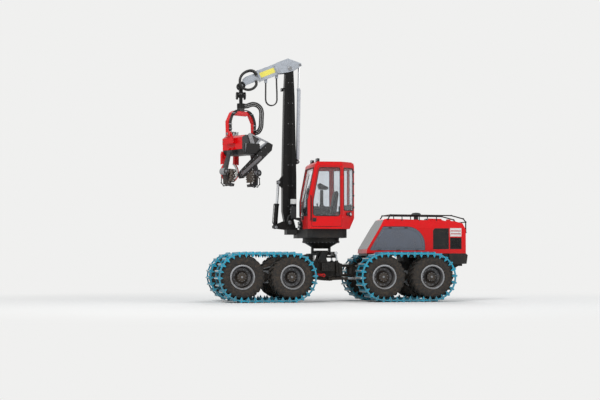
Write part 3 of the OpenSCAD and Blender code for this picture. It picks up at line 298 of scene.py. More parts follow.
def cab_pane(name, colour, clear):
    """Cast polycarbonate: clear or smoked, with a thin film of dust that dulls it in clouds."""
    material, surface, place = new_material(name, IOR=1.5, Transmission_Weight=clear,
                                            Base_Color=rgb(colour))
    film = add(material, "TexNoise", {"Vector": place, "Scale": 4.0, "Detail": 5.0})
    rough = add(material, "MapRange", {"Value": film.outputs["Fac"], "From Min": 0.35, "From Max": 0.8,
                                       "To Max": 0.06})
    return feed(material, surface, Roughness=rough.outputs["Result"])


def seat_weave():
    """Woven seat cloth with threads of about 1 mm, drawn at 5 mm so that the weave shows."""
    material, surface, place = new_material("seat_weave", Sheen_Weight=0.4, Sheen_Roughness=0.5,
                                            Roughness=0.9)
    across, along = [add(material, "TexWave", {"Vector": place, "Scale": 60.0, "Distortion": 1.0},
                         bands_direction=way).outputs["Fac"] for way in ("X", "Z")]
    weave = add(material, "Math", {0: across, 1: along}, operation="MULTIPLY")
    colour = add(material, "MixRGB", {"Fac": weave.outputs[0], "Color1": rgb("#141416"),
                                      "Color2": rgb("#3A3A3F")})
    bump = add(material, "Bump", {"Height": weave.outputs[0], "Strength": 0.5, "Distance": 0.002})
    return feed(material, surface, Base_Color=colour.outputs["Color"], Normal=bump.outputs["Normal"])


red_enamel = soiled_paint("red_enamel", "#E2020B", 0.3, dust=0.06, coat=0.05, splash_z=2.0, splash=0.3,
                          gloss=0.3)
frame_black = soiled_paint("frame_black", "#0E0F10", 0.5, dust=0.35, gloss=0.35)
boom_black = soiled_paint("boom_black", "#040405", 0.42, dust=0.07, splash=0.2, gloss=0.25)
boom_silver = soiled_paint("boom_silver", "#AEB4BC", 0.33, dust=0.25, splash=0.2, coat=0.3)
bogie_black = soiled_paint("bogie_black", "#222326", 0.5, dust=0.6, splash_z=1.6, splash=0.9)
track_blue = soiled_paint("track_blue", "#12A3C2", 0.4, dust=0.45, wear="#8A8F92", splash_z=1.2, splash=0.5)
rim_grey = soiled_paint("rim_grey", "#6A6C70", 0.45, dust=0.5, splash_z=1.6, splash=0.6)
tail_red = moulded_plastic("tail_red", "#A01018", 0.2)
rim_edge = soiled_paint("rim_edge", "#A9ABAE", 0.4, dust=0.4, splash_z=1.6, splash=0.4)
sign_yellow = soiled_paint("sign_yellow", "#F0E468", 0.3, dust=0.1, splash=0.1)
lattice_grey = soiled_paint("lattice_grey", "#9C9EA2", 0.4, dust=0.4, soil="#6B5A45")
panel_grey = soiled_paint("panel_grey", "#565D6B", 0.2, dust=0.2, coat=0.6, splash_z=2.2, splash=0.3)
louvre_white = soiled_paint("louvre_white", "#E4E4E2", 0.35, dust=0.2, splash=0.2)
head_grey = soiled_paint("head_grey", "#232428", 0.5, dust=0.35, soil="#6B5A45")
tyre_black = tyre_rubber()
worn_steel = bare_steel("worn_steel", "#B4B5B2", 0.4, rust=0.35)
bolt_zinc = bare_steel("bolt_zinc", "#8D8F92", 0.45, rust=0.3)
chrome = chrome_rod()
hose_black = hose_rubber()
roller_steel = bare_steel("roller_steel", "#5B5651", 0.5, rust=0.7)
saw_steel = bare_steel("saw_steel", "#626366", 0.4, rust=0.3)
engine_iron = bare_steel("engine_iron", "#4B4B4D", 0.6, rust=0.4)
black_plastic = moulded_plastic("black_plastic", "#151517")
pane = cab_pane("cab_pane", "#EAEEF2", 0.98)
smoked_pane = cab_pane("smoked_pane", "#3C4046", 0.25)
lens_glass = cab_pane("lens_glass", "#F4F6F7", 0.3)
seat_cloth = seat_weave()

def dress(node, first, *others):
    """Gives a CAD node its material, and others to the faces whose middle a test picks."""
    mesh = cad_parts[node].data
    mesh.materials.clear()
    mesh.materials.append(first)
    for number, (material, picks) in enumerate(others, 1):
        mesh.materials.append(material)
        for face in mesh.polygons:
            if picks(face.center, face.normal):
                face.material_index = number


for material, nodes in (
        (frame_black, "mid_frame front_arm joint_block rear_frame level_yoke slew_ring platform level_barrels"
                      " steer_barrel_l steer_barrel_r"),
        (chrome, "arm_rods level_rods steer_rod_l steer_rod_r lift_rod stick_rod"),
        (boom_black, "crane_base lift_barrel main_boom tip_link swing_link hood_rail"),
        (boom_silver, "stick_barrel outer_boom extension"), (red_enamel, "arm_barrels head_yoke cab_door"),
        (head_grey, "rotator"), (saw_steel, "saw_bar"), (engine_iron, "engine_block"),
        (black_plastic, "intake"), (pane, "door_glass cab_glass"), (seat_cloth, "cab_seat"),
        (tyre_black, "tyres_fl tyres_fr tyres_rl tyres_rr")):
    for node in nodes.split():
        dress(node, material)


def from_axles(center):
    """How far a point lies from the nearer axle of its bogie, along X and Z."""
    side = front_x if center.x > steer_x else rear_x
    return abs(center.x - side) - wheel_gap / 2, center.z - axle_z


def from_axle(center):
    return math.hypot(*from_axles(center))


def from_loop(center):
    """How far a point lies from the line between a bogie's two axles."""
    x, z = from_axles(center)
    return math.hypot(max(x, 0.0), z)


def in_head(center):
    return head_pose.inverted() @ center


def from_stem(center, y, rise):
    place = in_head(center)
    return math.hypot(abs(place.y) - y, place.z - stem_z - rise)


dress("hood_panels", panel_grey, (frame_black, lambda c, n: c.x < tail_x + 1.2),
      (louvre_white, lambda c, n: c.x < tail_x + 0.6 and c.z > 1.975),
      (red_enamel, lambda c, n: c.x < tail_x + 0.6 and 2.03 < c.z < 2.2 and abs(c.y) < 0.597))
dress("cab_shell", red_enamel,
      (black_plastic, lambda c, n: c.z > cab_z + cab_h + 0.035 and c.x > slew_x + 0.19))
dress("hood_shell", red_enamel, (smoked_pane, lambda c, n: n.x > 0.7 and n.z > 0.3))
dress("head_body", head_grey, (boom_black, lambda c, n: in_head(c).x > 0.515),
      (lattice_grey, lambda c, n: 0.49 < in_head(c).x < 0.5125 and c.z > tilt_z - 0.57),
      (red_enamel, lambda c, n: (in_head(c).x < -0.47 or in_head(c).y < -0.22 and in_head(c).x < 0.47)
       and c.z > tilt_z - 0.5))
for side in ("l", "r"):
    # edges that the stems polish, the motor housings, and the tips of the rollers' teeth
    dress("knife_" + side, red_enamel, (worn_steel, lambda c, n: from_stem(c, 0.0, 0.0) < 0.294))
    dress("feed_arm_" + side, head_grey,
          (lattice_grey, lambda c, n: 0.09 < from_stem(c, 0.645, -0.03) < 0.107))
    dress("roller_" + side, roller_steel,
          (worn_steel, lambda c, n: abs(in_head(c).x) > 0.121 or abs(abs(in_head(c).y) - 0.37) > 0.15))
for corner in bogies:
    dress("bogie_" + corner, bogie_black, (rim_grey, lambda c, n: abs(c.y) > 0.66 and from_axle(c) > 0.185),
          (rim_edge, lambda c, n: from_axle(c) > 0.33))
    dress("track_" + corner, track_blue, (worn_steel, lambda c, n: from_loop(c) > track_r - 0.004))

# Curves: bars, seals and hoses


def curve_piece(name, points, radius, material, body, closed=False):
    """A round bar or hose along points."""
    data = bpy.data.curves.new(name, "CURVE")
    data.dimensions, data.bevel_depth, data.bevel_resolution, data.use_fill_caps = "3D", radius, 3, True
    spline = data.splines.new("POLY")
    spline.points.add(len(points) - 1)
    for target, p in zip(spline.points, points):
        target.co = (*p, 1.0)
    spline.use_cyclic_u = closed
    piece = new_object(name, data)
    data.materials.append(material)
    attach(piece, body)
    return piece


def rounded(points, radius, steps=3):
    """A closed outline with its corners rounded."""
    out = []
    for i, p in enumerate(points):
        before, after = points[i - 1] - p, points[(i + 1) % len(points)] - p
        cut = min(radius, before.length * 0.45, after.length * 0.45)
        a, b = p + before.normalized() * cut, p + after.normalized() * cut
        for k in range(steps + 1):
            t = k / steps
            out.append((1 - t) ** 2 * a + 2 * t * (1 - t) * p + t * t * b)
    return out


def seal_piece(name, points, radius, body, material=black_plastic, corner=0.05):
    """A round strip along a closed outline whose corners are rounded."""
    return curve_piece(name, rounded(points, corner), radius, material, body, closed=True)


def measured(points, steps=12):
    """A smooth curve through the points, as a fine list of points, and its length."""
    fine = []
    for i in range(len(points) - 1):
        a, b = points[i], points[i + 1]
        before, after = points[max(i - 1, 0)], points[min(i + 2, len(points) - 1)]
        for k in range(steps):
            t = k / steps
            fine.append(0.5 * ((2 * a) + (b - before) * t + (2 * before - 5 * a + 4 * b - after) * t ** 2
                               + (3 * a - before - 3 * b + after) * t ** 3))
    fine.append(points[-1])
    return fine, sum((q - p).length for p, q in zip(fine, fine[1:]))


def hose_piece(name, points, radius, body):
    """A short hose, held fast at both ends."""
    return curve_piece(name, measured([Vector(p) for p in points], 5)[0], radius, hose_black, body)


# Hoses, on the routes that the part's source gives in millimetres, from the knuckle's pin and from the
# rotator's flange

loop_route = [(390, 0, -305), (390, 0, -380), (388, 0, -470), (383, 0, -600), (377, 0, -740), (376, 0, -880),
              (376, 0, -975), (400, 0, -1063), (464, 0, -1128), (553, 0, -1152), (641, 0, -1128),
              (706, 0, -1063), (730, 0, -975), (732, 0, -820), (731, 0, -640), (730, 0, -540), (730, 0, -450)]
head_route = [(73.5, 95.3, 170), (86, 111, 170), (123, 160, 177), (159, 206, 199), (218, 283, 227),
              (282, 365, 215), (337, 437, 164), (376, 487, 81), (392, 508, -34), (391, 507, -150),
              (388, 503, -270), (385, 500, -378), (365, 500, -478), (308, 500, -563), (223, 500, -620),
              (123, 500, -640), (75.3, 500, -640)]
head_plane = Vector((0.792, -0.61, 0))
# (piece, CAD node, body, radius, places of the hoses across their bundle)
loop_hoses = ("loop_hose", "hose_loop", "outer_boom", 0.02, (-0.028, 0.028))
head_hoses = ("head_hose", "hose_head", "rotator", 0.024, (-0.052, 0.0, 0.052))


def in_metres(route):
    return [Vector(p) / 1000 for p in route]


def beside(route, plane, distance):
    """The route moved across its own plane, as the part's source moves it."""
    moved = []
    last = len(route) - 1
    for i, p in enumerate(route):
        k = 0 if i < 2 else last if i > last - 2 else i
        along = route[min(k + 1, last)] - route[max(k - 1, 0)]
        moved.append(p + distance * plane.cross(along).normalized())
    return moved


def lay_hoses(bundle, placed):
    """A bundle's hoses, on the routes that a function gives for their places across it."""
    name, node, body, radius, places = bundle
    for number, aside in enumerate(places, 1):
        fine, length = measured(placed(aside))
        hose = curve_piece(f"{name}_{number}", fine, radius, hose_black, body)
        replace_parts(hose, node)


lay_hoses(loop_hoses, lambda aside: [Vector((foot_x, boom_y + aside, knee_z)) + p
                                     for p in in_metres(loop_route)])
lay_hoses(head_hoses, lambda aside: [head_pose @ Matrix.Translation((0, 0, flange_z)) @ p
                                     for p in beside(in_metres(head_route), head_plane, aside)])

# Forms: each function adds one shape to a bmesh


def add_prism(form, outline, low, high, pose=Matrix()):
    """An outline in X and Z, drawn out along Y."""
    rings = [[form.verts.new(pose @ Vector((x, y, z))) for x, z in outline] for y in (low, high)]
    form.faces.new(rings[0])
    form.faces.new(reversed(rings[1]))
    for i in range(len(outline)):
        k = (i + 1) % len(outline)
        form.faces.new((rings[0][k], rings[0][i], rings[1][i], rings[1][k]))


def add_block(form, low, high, pose=Matrix()):
    (x, y, z), (x1, y1, z1) = low, high
    add_prism(form, [(x, z), (x1, z), (x1, z1), (x, z1)], y, y1, pose)


def add_turned(form, stations, start, axis, sides=16):
    """A round shape from (distance, radius) stations along an axis."""
    axis = Vector(axis).normalized()
    across = axis.orthogonal().normalized()
    third = axis.cross(across)
    rings = []
    for distance, radius in stations:
        turns = [2 * math.pi * k / sides for k in range(sides)]
        rings.append([form.verts.new(Vector(start) + axis * distance
                                     + radius * (math.cos(t) * across + math.sin(t) * third)) for t in turns])
    for a, b in zip(rings, rings[1:]):
        for k in range(sides):
            form.faces.new((a[k], a[(k + 1) % sides], b[(k + 1) % sides], b[k]))
    form.faces.new(reversed(rings[0]))
    form.faces.new(rings[-1])


def add_bolt(form, place, axis, size, height):
    """Hexagon head with its chamfer, on a washer."""
    low, high = height * 0.2, height * 0.9
    add_turned(form, [(0, size * 0.62), (low, size * 0.62)], place, axis, 12)
    add_turned(form, [(low, size * 0.5), (high, size * 0.5), (height, size * 0.43)], place, axis, 6)


def add_bar(form, a, b, radius, sides=10):
    a, b = Vector(a), Vector(b)
    add_turned(form, [(0, radius), ((b - a).length, radius)], a, b - a, sides)


def on_circle(count, radius, shift=0.0):
    """Places at even steps round a circle, as (across, up)."""
    turns = [2 * math.pi * (k + shift) / count for k in range(count)]
    return [(radius * math.cos(t), radius * math.sin(t)) for t in turns]


def crosswise(side=1):
    """Turns an outline in X and Z, drawn along Y, into one in Y and Z, drawn along X."""
    return Matrix(((0, 1, 0, 0), (side, 0, 0, 0), (0, 0, 1, 0), (0, 0, 0, 1)))


def new_piece(name, form, material, body, *replaced, bevel=0.0, sharp=35):
    """Turns a bmesh into a piece that rides on a body and may stand for CAD nodes."""
    bmesh.ops.recalc_face_normals(form, faces=form.faces)
    data = bpy.data.meshes.new(name)
    form.to_mesh(data)
    form.free()
    data.materials.append(material)
    for face in data.polygons:
        face.use_smooth = True
    data.set_sharp_from_angle(angle=math.radians(sharp))
    piece = new_object(name, data)
    if bevel:
        rounding = piece.modifiers.new("rounding", "BEVEL")
        rounding.width, rounding.segments, rounding.limit_method = bevel, 2, "ANGLE"
    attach(piece, body)
    for node in replaced:
        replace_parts(piece, node)
    return piece


# Wheels: tyres with their lugs, wheel nuts, and the bolts of the tracks' side links

tyre_r, link_gap = 0.670, 0.03
lug_count, ring_count = 23, 46
shoe_count, track_half = 36, 0.390
# (distance from the middle plane, radius) over one half of the carcass, from the bead out and up to the tread
carcass = [(0.303, 0.3375), (0.304, 0.372), (0.334, 0.395), (0.336, 0.41), (0.353, 0.45), (0.354, 0.50),
           (0.346, 0.56), (0.322, 0.605), (0.27, 0.628), (0.15, 0.637), (0.0, 0.640)]
# (distance from the middle plane, lower and upper radius, half width, angle in radians) along a lug
lug = [(0.012, 0.625, 0.6695, 0.019, 0.0), (0.10, 0.625, 0.6695, 0.022, 0.05),
       (0.20, 0.62, 0.6685, 0.025, 0.13), (0.295, 0.60, 0.648, 0.028, 0.20),
       (0.345, 0.555, 0.592, 0.030, 0.22)]
# (number, radius of their circle, height over the rim's middle, size, height) of the wheel's nuts
wheel_nuts = ((12, 0.236, 0.081, 0.034, 0.026), (10, 0.122, 0.198, 0.02, 0.012))


def tyre_form():
    """A tyre round Y: an open carcass with two rows of curved lugs, half a pitch apart."""
    form = bmesh.new()
    profile = carcass + [(-y, r) for y, r in reversed(carcass[:-1])]
    rings = []
    for k in range(ring_count):
        t = 2 * math.pi * k / ring_count
        rings.append([form.verts.new((r * math.sin(t), y, r * math.cos(t))) for y, r in profile])
    for k in range(ring_count):
        a, b = rings[k], rings[(k + 1) % ring_count]
        for i in range(len(profile)):
            j = (i + 1) % len(profile)
            form.faces.new((a[i], a[j], b[j], b[i]))
    for side in (1, -1):
        for k in range(lug_count):
            first = 2 * math.pi * (k + (0.5 if side < 0 else 0.0)) / lug_count
            stations = []
            for y, low, high, half, lag in lug:
                t = first - lag
                corners = ((low, -half * 1.25), (high, -half), (high, half), (low, half * 1.25))
                stations.append([form.verts.new((r * math.sin(t + w / r), side * y, r * math.cos(t + w / r)))
                                 for r, w in corners])
            for a, b in zip(stations, stations[1:]):
                for i in range(4):
                    form.faces.new((a[i], a[(i + 1) % 4], b[(i + 1) % 4], b[i]))
            form.faces.new(stations[0])
            form.faces.new(stations[-1])
    return form


def loop_place(distance, reach):
    """Point of a track's loop and the direction out of it, at a distance along the loop."""
    straight, bend = wheel_gap, math.pi * (tyre_r + link_gap)
    if distance < straight:
        base, turn = -wheel_gap / 2 + distance, -math.pi / 2
    elif distance < straight + bend:
        base, turn = wheel_gap / 2, -math.pi / 2 + math.pi * (distance - straight) / bend
    elif distance < 2 * straight + bend:
        base, turn = wheel_gap / 2 - (distance - straight - bend), math.pi / 2
    else:
        base, turn = -wheel_gap / 2, math.pi / 2 + math.pi * (distance - 2 * straight - bend) / bend
    out = Vector((math.cos(turn), 0, math.sin(turn)))
    return Vector((base, 0, 0)) + out * reach, out


def build_wheels():
    for corner, (x, s) in bogies.items():
        body = "bogie_" + corner
        for end, dx in (("a", -wheel_gap / 2), ("b", wheel_gap / 2)):
            centre = Vector((x + dx, s * wheel_y, axle_z))
            tyre = tyre_form()
            bmesh.ops.transform(tyre, matrix=Matrix.Translation(centre) @ Matrix.Rotation(0.1 * dx, 4, "Y"),
                                verts=tyre.verts)
            new_piece(f"tyre_{corner}_{end}", tyre, tyre_black, body, "tyres_" + corner)
            nuts = bmesh.new()
            for count, radius, out, size, height in wheel_nuts:
                for a, c in on_circle(count, radius, 0.5):
                    add_bolt(nuts, centre + Vector((a, s * out, c)), (0, s, 0), size, height)
            # plug in the middle of the hub
            add_turned(nuts, [(0, 0.034), (0.012, 0.034), (0.016, 0.028)], centre + Vector((0, s * 0.209, 0)),
                       (0, s, 0), 8)
            new_piece(f"wheel_nuts_{corner}_{end}", nuts, bolt_zinc, body)
        pins = bmesh.new()
        pitch = 2 * (wheel_gap + math.pi * (tyre_r + link_gap)) / shoe_count
        for k in range(shoe_count):
            place, out = loop_place((k + 0.5) * pitch, tyre_r + 0.012)
            for shift in (-0.034, 0.034):
                for side in (1, -1):
                    add_bolt(pins, Vector((x, s * wheel_y + side * (track_half - 0.009), axle_z)) + place
                             + Vector((-out.z, 0, out.x)) * shift, (0, side, 0), 0.026, 0.012)
        new_piece("link_bolts_" + corner, pins, bolt_zinc, body)


build_wheels()

# Cab: rubber gaskets, wiper, handles, the seat and what stands beside it

corner_turn = math.atan2(0.400, 0.450)
gasket_r = 0.012
side_window = ((-0.37, 0.44), (-0.32, 0.39), (0.40, 0.39), (0.45, 0.44), (0.45, 0.84), (0.265, 1.84),
               (-0.37, 1.84))
windscreen = ((0.602, -0.62, 0.40), (0.602, 0.62, 0.40), (0.602, 0.62, 0.85), (0.411, 0.62, 1.85),
              (0.411, -0.62, 1.85), (0.602, -0.62, 0.85))
door_edge = ((-0.428, 0.072), (0.498, 0.072), (0.498, 0.85), (0.298, 1.888), (-0.428, 1.888))
# (X, Z, height) of the corners of the lower door panel, pressed in two facets
door_facets = ((-0.02, 0.078, 0.030), (0.485, 0.078, 0.001), (0.485, 0.372, 0.001), (-0.418, 0.372, 0.030),
               (-0.418, 0.078, 0.001))


def build_gaskets():
    for name, y, body in (("door_gasket", cab_half + 0.002, "cab_door"),
                          ("right_gasket", -cab_half - 0.002, "platform")):
        seal_piece(name, [in_cab(x, y, z) for x, z in side_window], gasket_r, body)
    seal_piece("screen_gasket", [in_cab(*p) for p in windscreen], gasket_r, "platform")
    low, high = cab_z + 0.56, cab_z + 1.84
    for name, x, y, turn, half in (("rear_gasket", -0.902, 0.0, math.pi / 2, 0.29),
                                   ("corner_gasket_l", -0.677, 0.552, corner_turn, 0.24),
                                   ("corner_gasket_r", -0.677, -0.552, -corner_turn, 0.24)):
        pose = turned_at(slew_x + x, cab_y + y, turn)
        ring = [pose @ Vector((a, 0, z)) for a, z in ((-half, low), (half, low), (half, high), (-half, high))]
        seal_piece(name, ring, gasket_r, "platform")
    seal_piece("door_seal", [in_cab(x, cab_half - 0.001, z) for x, z in door_edge], 0.006, "platform")


def build_cab_trim():
    form = bmesh.new()
    # wiper: motor cover, bent arm and blade on the windscreen
    add_block(form, in_cab(0.596, -0.07, 0.30), in_cab(0.64, 0.07, 0.38))
    for a, b, radius in (((0.635, 0, 0.34), (0.625, 0.05, 0.85), 0.008),
                         ((0.625, 0.05, 0.85), (0.528, 0.14, 1.33), 0.008),
                         ((0.608, 0.10, 0.92), (0.465, 0.21, 1.66), 0.010)):
        add_bar(form, in_cab(*a), in_cab(*b), radius)
    new_piece("wiper", form, black_plastic, "platform", bevel=0.003)
    # grab rail beside the door, and the door's handle in its dish
    form = bmesh.new()
    x, y = 0.532, cab_half + 0.055
    add_bar(form, in_cab(x, y, 0.25), in_cab(x, y, 1.0), 0.014, 14)
    for z in (0.26, 0.99):
        add_bar(form, in_cab(x, y - 0.07, z), in_cab(x, y, z), 0.012)
        add_turned(form, [(0, 0.024), (0.006, 0.024)], in_cab(x, y - 0.064, z), (0, 1, 0), 12)
    new_piece("grab_rail", form, boom_black, "platform")
    form = bmesh.new()
    x, y, z = 0.40, cab_half, 0.27
    add_block(form, in_cab(x - 0.07, y - 0.002, 0.21), in_cab(x + 0.07, y + 0.008, 0.33))
    add_bar(form, in_cab(x - 0.05, y + 0.03, z), in_cab(x + 0.05, y + 0.03, z), 0.011)
    for d in (-0.045, 0.045):
        add_bar(form, in_cab(x + d, y, z), in_cab(x + d, y + 0.03, z), 0.009)
    new_piece("door_handle", form, black_plastic, "cab_door", bevel=0.003)
    # the lower door panel's facets meet in a slanting crease
    form = bmesh.new()
    front = [form.verts.new(in_cab(x, cab_half + out, z)) for x, z, out in door_facets]
    back = [form.verts.new((v.co.x, cab_y + cab_half - 0.004, v.co.z)) for v in front]
    for face in (front[:4], (front[0], front[3], front[4]), back[::-1]):
        form.faces.new(face)
    for k in range(5):
        form.faces.new((front[k], back[k], back[(k + 1) % 5], front[(k + 1) % 5]))
    new_piece("door_panel", form, red_enamel, "cab_door", sharp=2)
    # ribbed mat on the roof's hatch
    form = bmesh.new()
    for k in range(9):
        add_block(form, in_cab(-0.40 + k * 0.052, -0.24, cab_h + 0.054),
                  in_cab(-0.38 + k * 0.052, 0.24, cab_h + 0.062))
    new_piece("roof_ribs", form, black_plastic, "platform", bevel=0.002)


build_gaskets()
build_cab_trim()


def add_lens(form, place, axis, radius=0.0405):
    """Crowned lamp lens with a stepped rim."""
    add_turned(form, [(0, radius), (0.004, radius), (0.005, radius * 0.9), (0.009, radius * 0.6),
                      (0.0105, radius * 0.2)], place, axis, 20)


# (distance, radius) of the round lamps' rims and of the horns'
lamp_rim = ((-0.030, 0.068), (0.004, 0.068), (0.008, 0.062), (0.008, 0.05), (-0.006, 0.05))
horn_rim = ((-0.030, 0.052), (0.004, 0.052), (0.008, 0.046), (0.008, 0.02), (0.004, 0.012))


def build_lenses():
    lenses, rings = bmesh.new(), bmesh.new()
    for y in (-0.43, -0.29, -0.15):
        for z in (0.080, 0.190):
            add_lens(lenses, in_cab(0.6822, y, z), (1, 0, 0))
    for y in (-0.480, -0.320, 0.320, 0.480):
        add_lens(lenses, in_cab(0.2822, y, cab_h + 0.090), (1, 0, 0))
    for side in (1, -1):
        pose = turned_at(slew_x - 0.675, cab_y + side * 0.55, side * (math.pi / 2 + corner_turn))
        for d in (-0.07, 0.07):
            place, out = pose @ Vector((0.0342, d, cab_z + 0.45)), pose.to_3x3() @ Vector((1, 0, 0))
            if d * side > 0:
                add_lens(lenses, place, out, 0.047)
                add_turned(rings, lamp_rim, place, out, 24)
            else:
                add_turned(rings, horn_rim, place, out, 20)
        for z in (0.66, 1.02, 1.38, 1.74):
            y, z = side * 0.268, cab_z + z
            add_block(rings, (-0.004, y - 0.02, z - 0.03), (0.018, y + 0.02, z + 0.03), pose)
    new_piece("cab_lamp_lenses", lenses, lens_glass, "platform")
    new_piece("lamp_rings", rings, black_plastic, "platform", bevel=0.002)
    form = bmesh.new()
    for y in (-0.05, 0.05):
        add_lens(form, (foot_x + 0.2422, boom_y + y, knee_z - 0.655), (1, 0, 0))
    new_piece("boom_lamp_lenses", form, lens_glass, "main_boom")


build_lenses()


def puffed(piece, voxel, limit, frames=20):
    """Fills a cushion's cover as its foam does: the cloth swells under pressure, up to a limit."""
    remesh = piece.modifiers.new("skin", "REMESH")
    remesh.mode, remesh.voxel_size = "VOXEL", voxel
    skin = bpy.data.meshes.new_from_object(piece.evaluated_get(bpy.context.evaluated_depsgraph_get()))
    piece.modifiers.clear()
    old, piece.data = piece.data, skin
    bpy.data.meshes.remove(old)
    start = [v.co.copy() for v in skin.vertices]
    cloth = piece.modifiers.new("foam", "CLOTH")
    cloth.settings.use_pressure = True
    cloth.settings.uniform_pressure_force = 4.0
    cloth.settings.effector_weights.gravity = 0.0
    scene = bpy.context.scene
    for step in range(1, frames + 1):
        scene.frame_set(step)
    swollen = piece.evaluated_get(bpy.context.evaluated_depsgraph_get()).data
    ends = [v.co.copy() for v in swollen.vertices]
    piece.modifiers.clear()
    scene.frame_set(1)
    drift = sum(((b - a) for a, b in zip(start, ends)), Vector()) / len(start)
    for vertex, a, b in zip(skin.vertices, start, ends):
        move = b - a - drift
        vertex.co = a + move * min(1.0, limit / max(move.length, 1e-9))


def cushion(name, outline, low, high, limit):
    """A cushion from its side outline, with its corners rounded, filled and given a woven cover."""
    form = bmesh.new()
    add_prism(form, outline, low, high)
    bmesh.ops.recalc_face_normals(form, faces=form.faces)
    bmesh.ops.bevel(form, geom=form.edges[:] + form.verts[:], offset=0.035, segments=3, profile=0.6,
                    affect="EDGES")
    data = bpy.data.meshes.new(name)
    form.to_mesh(data)
    form.free()
    piece = new_object(name, data)
    puffed(piece, 0.014, limit)
    piece.data.materials.clear()
    piece.data.materials.append(seat_cloth)
    for face in piece.data.polygons:
        face.use_smooth = True
    smooth = piece.modifiers.new("smooth", "SMOOTH")
    smooth.factor, smooth.iterations = 0.5, 3
    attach(piece, "platform")
    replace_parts(piece, "cab_seat")


seat_x, seat_z = slew_x - 0.150, cab_z + 0.0506


def in_seat(x, y, z):
    """A place given from the seat's foot."""
    return Vector((seat_x + x, cab_y + y, seat_z + z))


def seat_side(*outline):
    return [(seat_x + x, seat_z + z) for x, z in outline]


def build_seat():
    cushion("seat_cushion", seat_side((-0.235, 0.285), (0.235, 0.275), (0.25, 0.34), (0.225, 0.40),
                                      (-0.235, 0.385)), cab_y - 0.24, cab_y + 0.24, 0.02)
    cushion("seat_back", seat_side((-0.225, 0.425), (-0.135, 0.425), (-0.16, 0.80), (-0.215, 1.12),
                                   (-0.25, 1.145), (-0.30, 1.07)), cab_y - 0.235, cab_y + 0.235, 0.018)
    # piping sewn round the cushion's top edge
    ring = [in_seat(x, y, 0.405)
            for x, y in ((-0.21, -0.235), (0.215, -0.235), (0.215, 0.235), (-0.21, 0.235))]
    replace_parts(seal_piece("seat_piping", ring, 0.006, "platform"), "cab_seat")
    form = bmesh.new()
    # (half width, bottom, top) of the foot, the pan and the bellows of the seat's suspension
    layers = [(0.2, 0.0, 0.03), (0.25, 0.252, 0.28)]
    for k in range(5):
        layers += [(0.17, 0.03 + 0.044 * k, 0.055 + 0.044 * k), (0.155, 0.05 + 0.044 * k, 0.075 + 0.044 * k)]
    for half, low, high in layers:
        add_block(form, in_seat(-half, -half, low), in_seat(half, half, high))
    # arm rests with their posts, levers and buttons
    for low, high, inner in ((-0.38, -0.28, -0.25), (0.28, 0.38, 0.25)):
        post = (low + high) / 2
        near, far = sorted((post, inner))
        add_block(form, in_seat(-0.12, near - 0.02, 0.30), in_seat(-0.04, far + 0.02, 0.33))
        add_block(form, in_seat(-0.12, post - 0.025, 0.30), in_seat(-0.04, post + 0.025, 0.57))
        add_prism(form, seat_side((-0.20, 0.565), (0.30, 0.565), (0.33, 0.60), (0.30, 0.65), (0.18, 0.65),
                                  (0.14, 0.635), (-0.18, 0.635)), cab_y + low, cab_y + high)
        add_turned(form, [(0, 0.03), (0.02, 0.026), (0.03, 0.016), (0.07, 0.020), (0.10, 0.026),
                          (0.115, 0.018)], in_seat(0.25, post, 0.64), (0.1, 0, 1), 14)
        for dx, dy in ((0.17, -0.02), (0.17, 0.02), (0.20, 0.0)):
            add_turned(form, [(0, 0.008), (0.008, 0.007)], in_seat(dx, post + dy, 0.648), (0, 0, 1), 8)
    new_piece("seat_frame", form, black_plastic, "platform", "cab_seat", bevel=0.006)
    form = bmesh.new()
    add_turned(form, [(0, 0.035), (0.01, 0.035), (0.02, 0.016), (1.04, 0.016)], in_seat(0.557, -0.45, 0.0),
               (0, 0, 1), 12)
    add_prism(form, seat_side((0.520, 1.02), (0.55, 1.03), (0.55, 1.22), (0.520, 1.23)), cab_y - 0.56,
              cab_y - 0.30)
    new_piece("cab_screen", form, black_plastic, "platform", "cab_seat", bevel=0.006)
    form = bmesh.new()
    add_block(form, in_seat(0.517, -0.545, 1.04), in_seat(0.521, -0.315, 1.21))
    new_piece("screen_face", form, smoked_pane, "platform", "cab_seat", bevel=0.001)


build_seat()


def build_inside():
    form = bmesh.new()
    # console along the right wall with its switch panel
    add_prism(form, cab_side((-0.42, 0.052), (0.50, 0.052), (0.50, 0.60), (0.38, 0.74), (-0.30, 0.70),
                             (-0.42, 0.60)), cab_y - 0.69, cab_y - 0.47)
    # dash under the windscreen with a hood over its dials
    add_prism(form, cab_side((0.44, 0.052), (0.53, 0.052), (0.56, 0.50), (0.50, 0.64), (0.40, 0.60),
                             (0.42, 0.52)), cab_y - 0.46, cab_y + 0.40)
    # locker behind the seat
    add_prism(form, cab_side((-0.84, 0.40), (-0.55, 0.40), (-0.55, 0.72), (-0.84, 0.76)), cab_y - 0.28,
              cab_y + 0.28)
    new_piece("cab_console", form, black_plastic, "platform", bevel=0.012)
    form = bmesh.new()
    # column on the console, with its slanting head
    add_prism(form, cab_side((-0.155, 0.71), (-0.005, 0.71), (-0.03, 0.80), (-0.035, 1.23), (-0.125, 1.23),
                             (-0.13, 0.80)), cab_y - 0.595, cab_y - 0.525)
    add_prism(form, cab_side((-0.27, 1.27), (-0.22, 1.235), (0.02, 1.245), (0.06, 1.40), (0.0, 1.44),
                             (-0.14, 1.37), (-0.26, 1.32)), cab_y - 0.58, cab_y - 0.41)
    new_piece("cab_column", form, black_plastic, "platform", bevel=0.006)
    form = bmesh.new()
    for k in range(9):
        for row in range(3):
            add_turned(form, [(0, 0.013), (0.008, 0.012), (0.012, 0.008)],
                       in_cab(-0.22 + 0.065 * k, -0.52 - 0.05 * row, 0.703 + 0.0038 * k), (-0.06, 0, 1), 8)
    new_piece("console_switches", form, panel_grey, "platform")


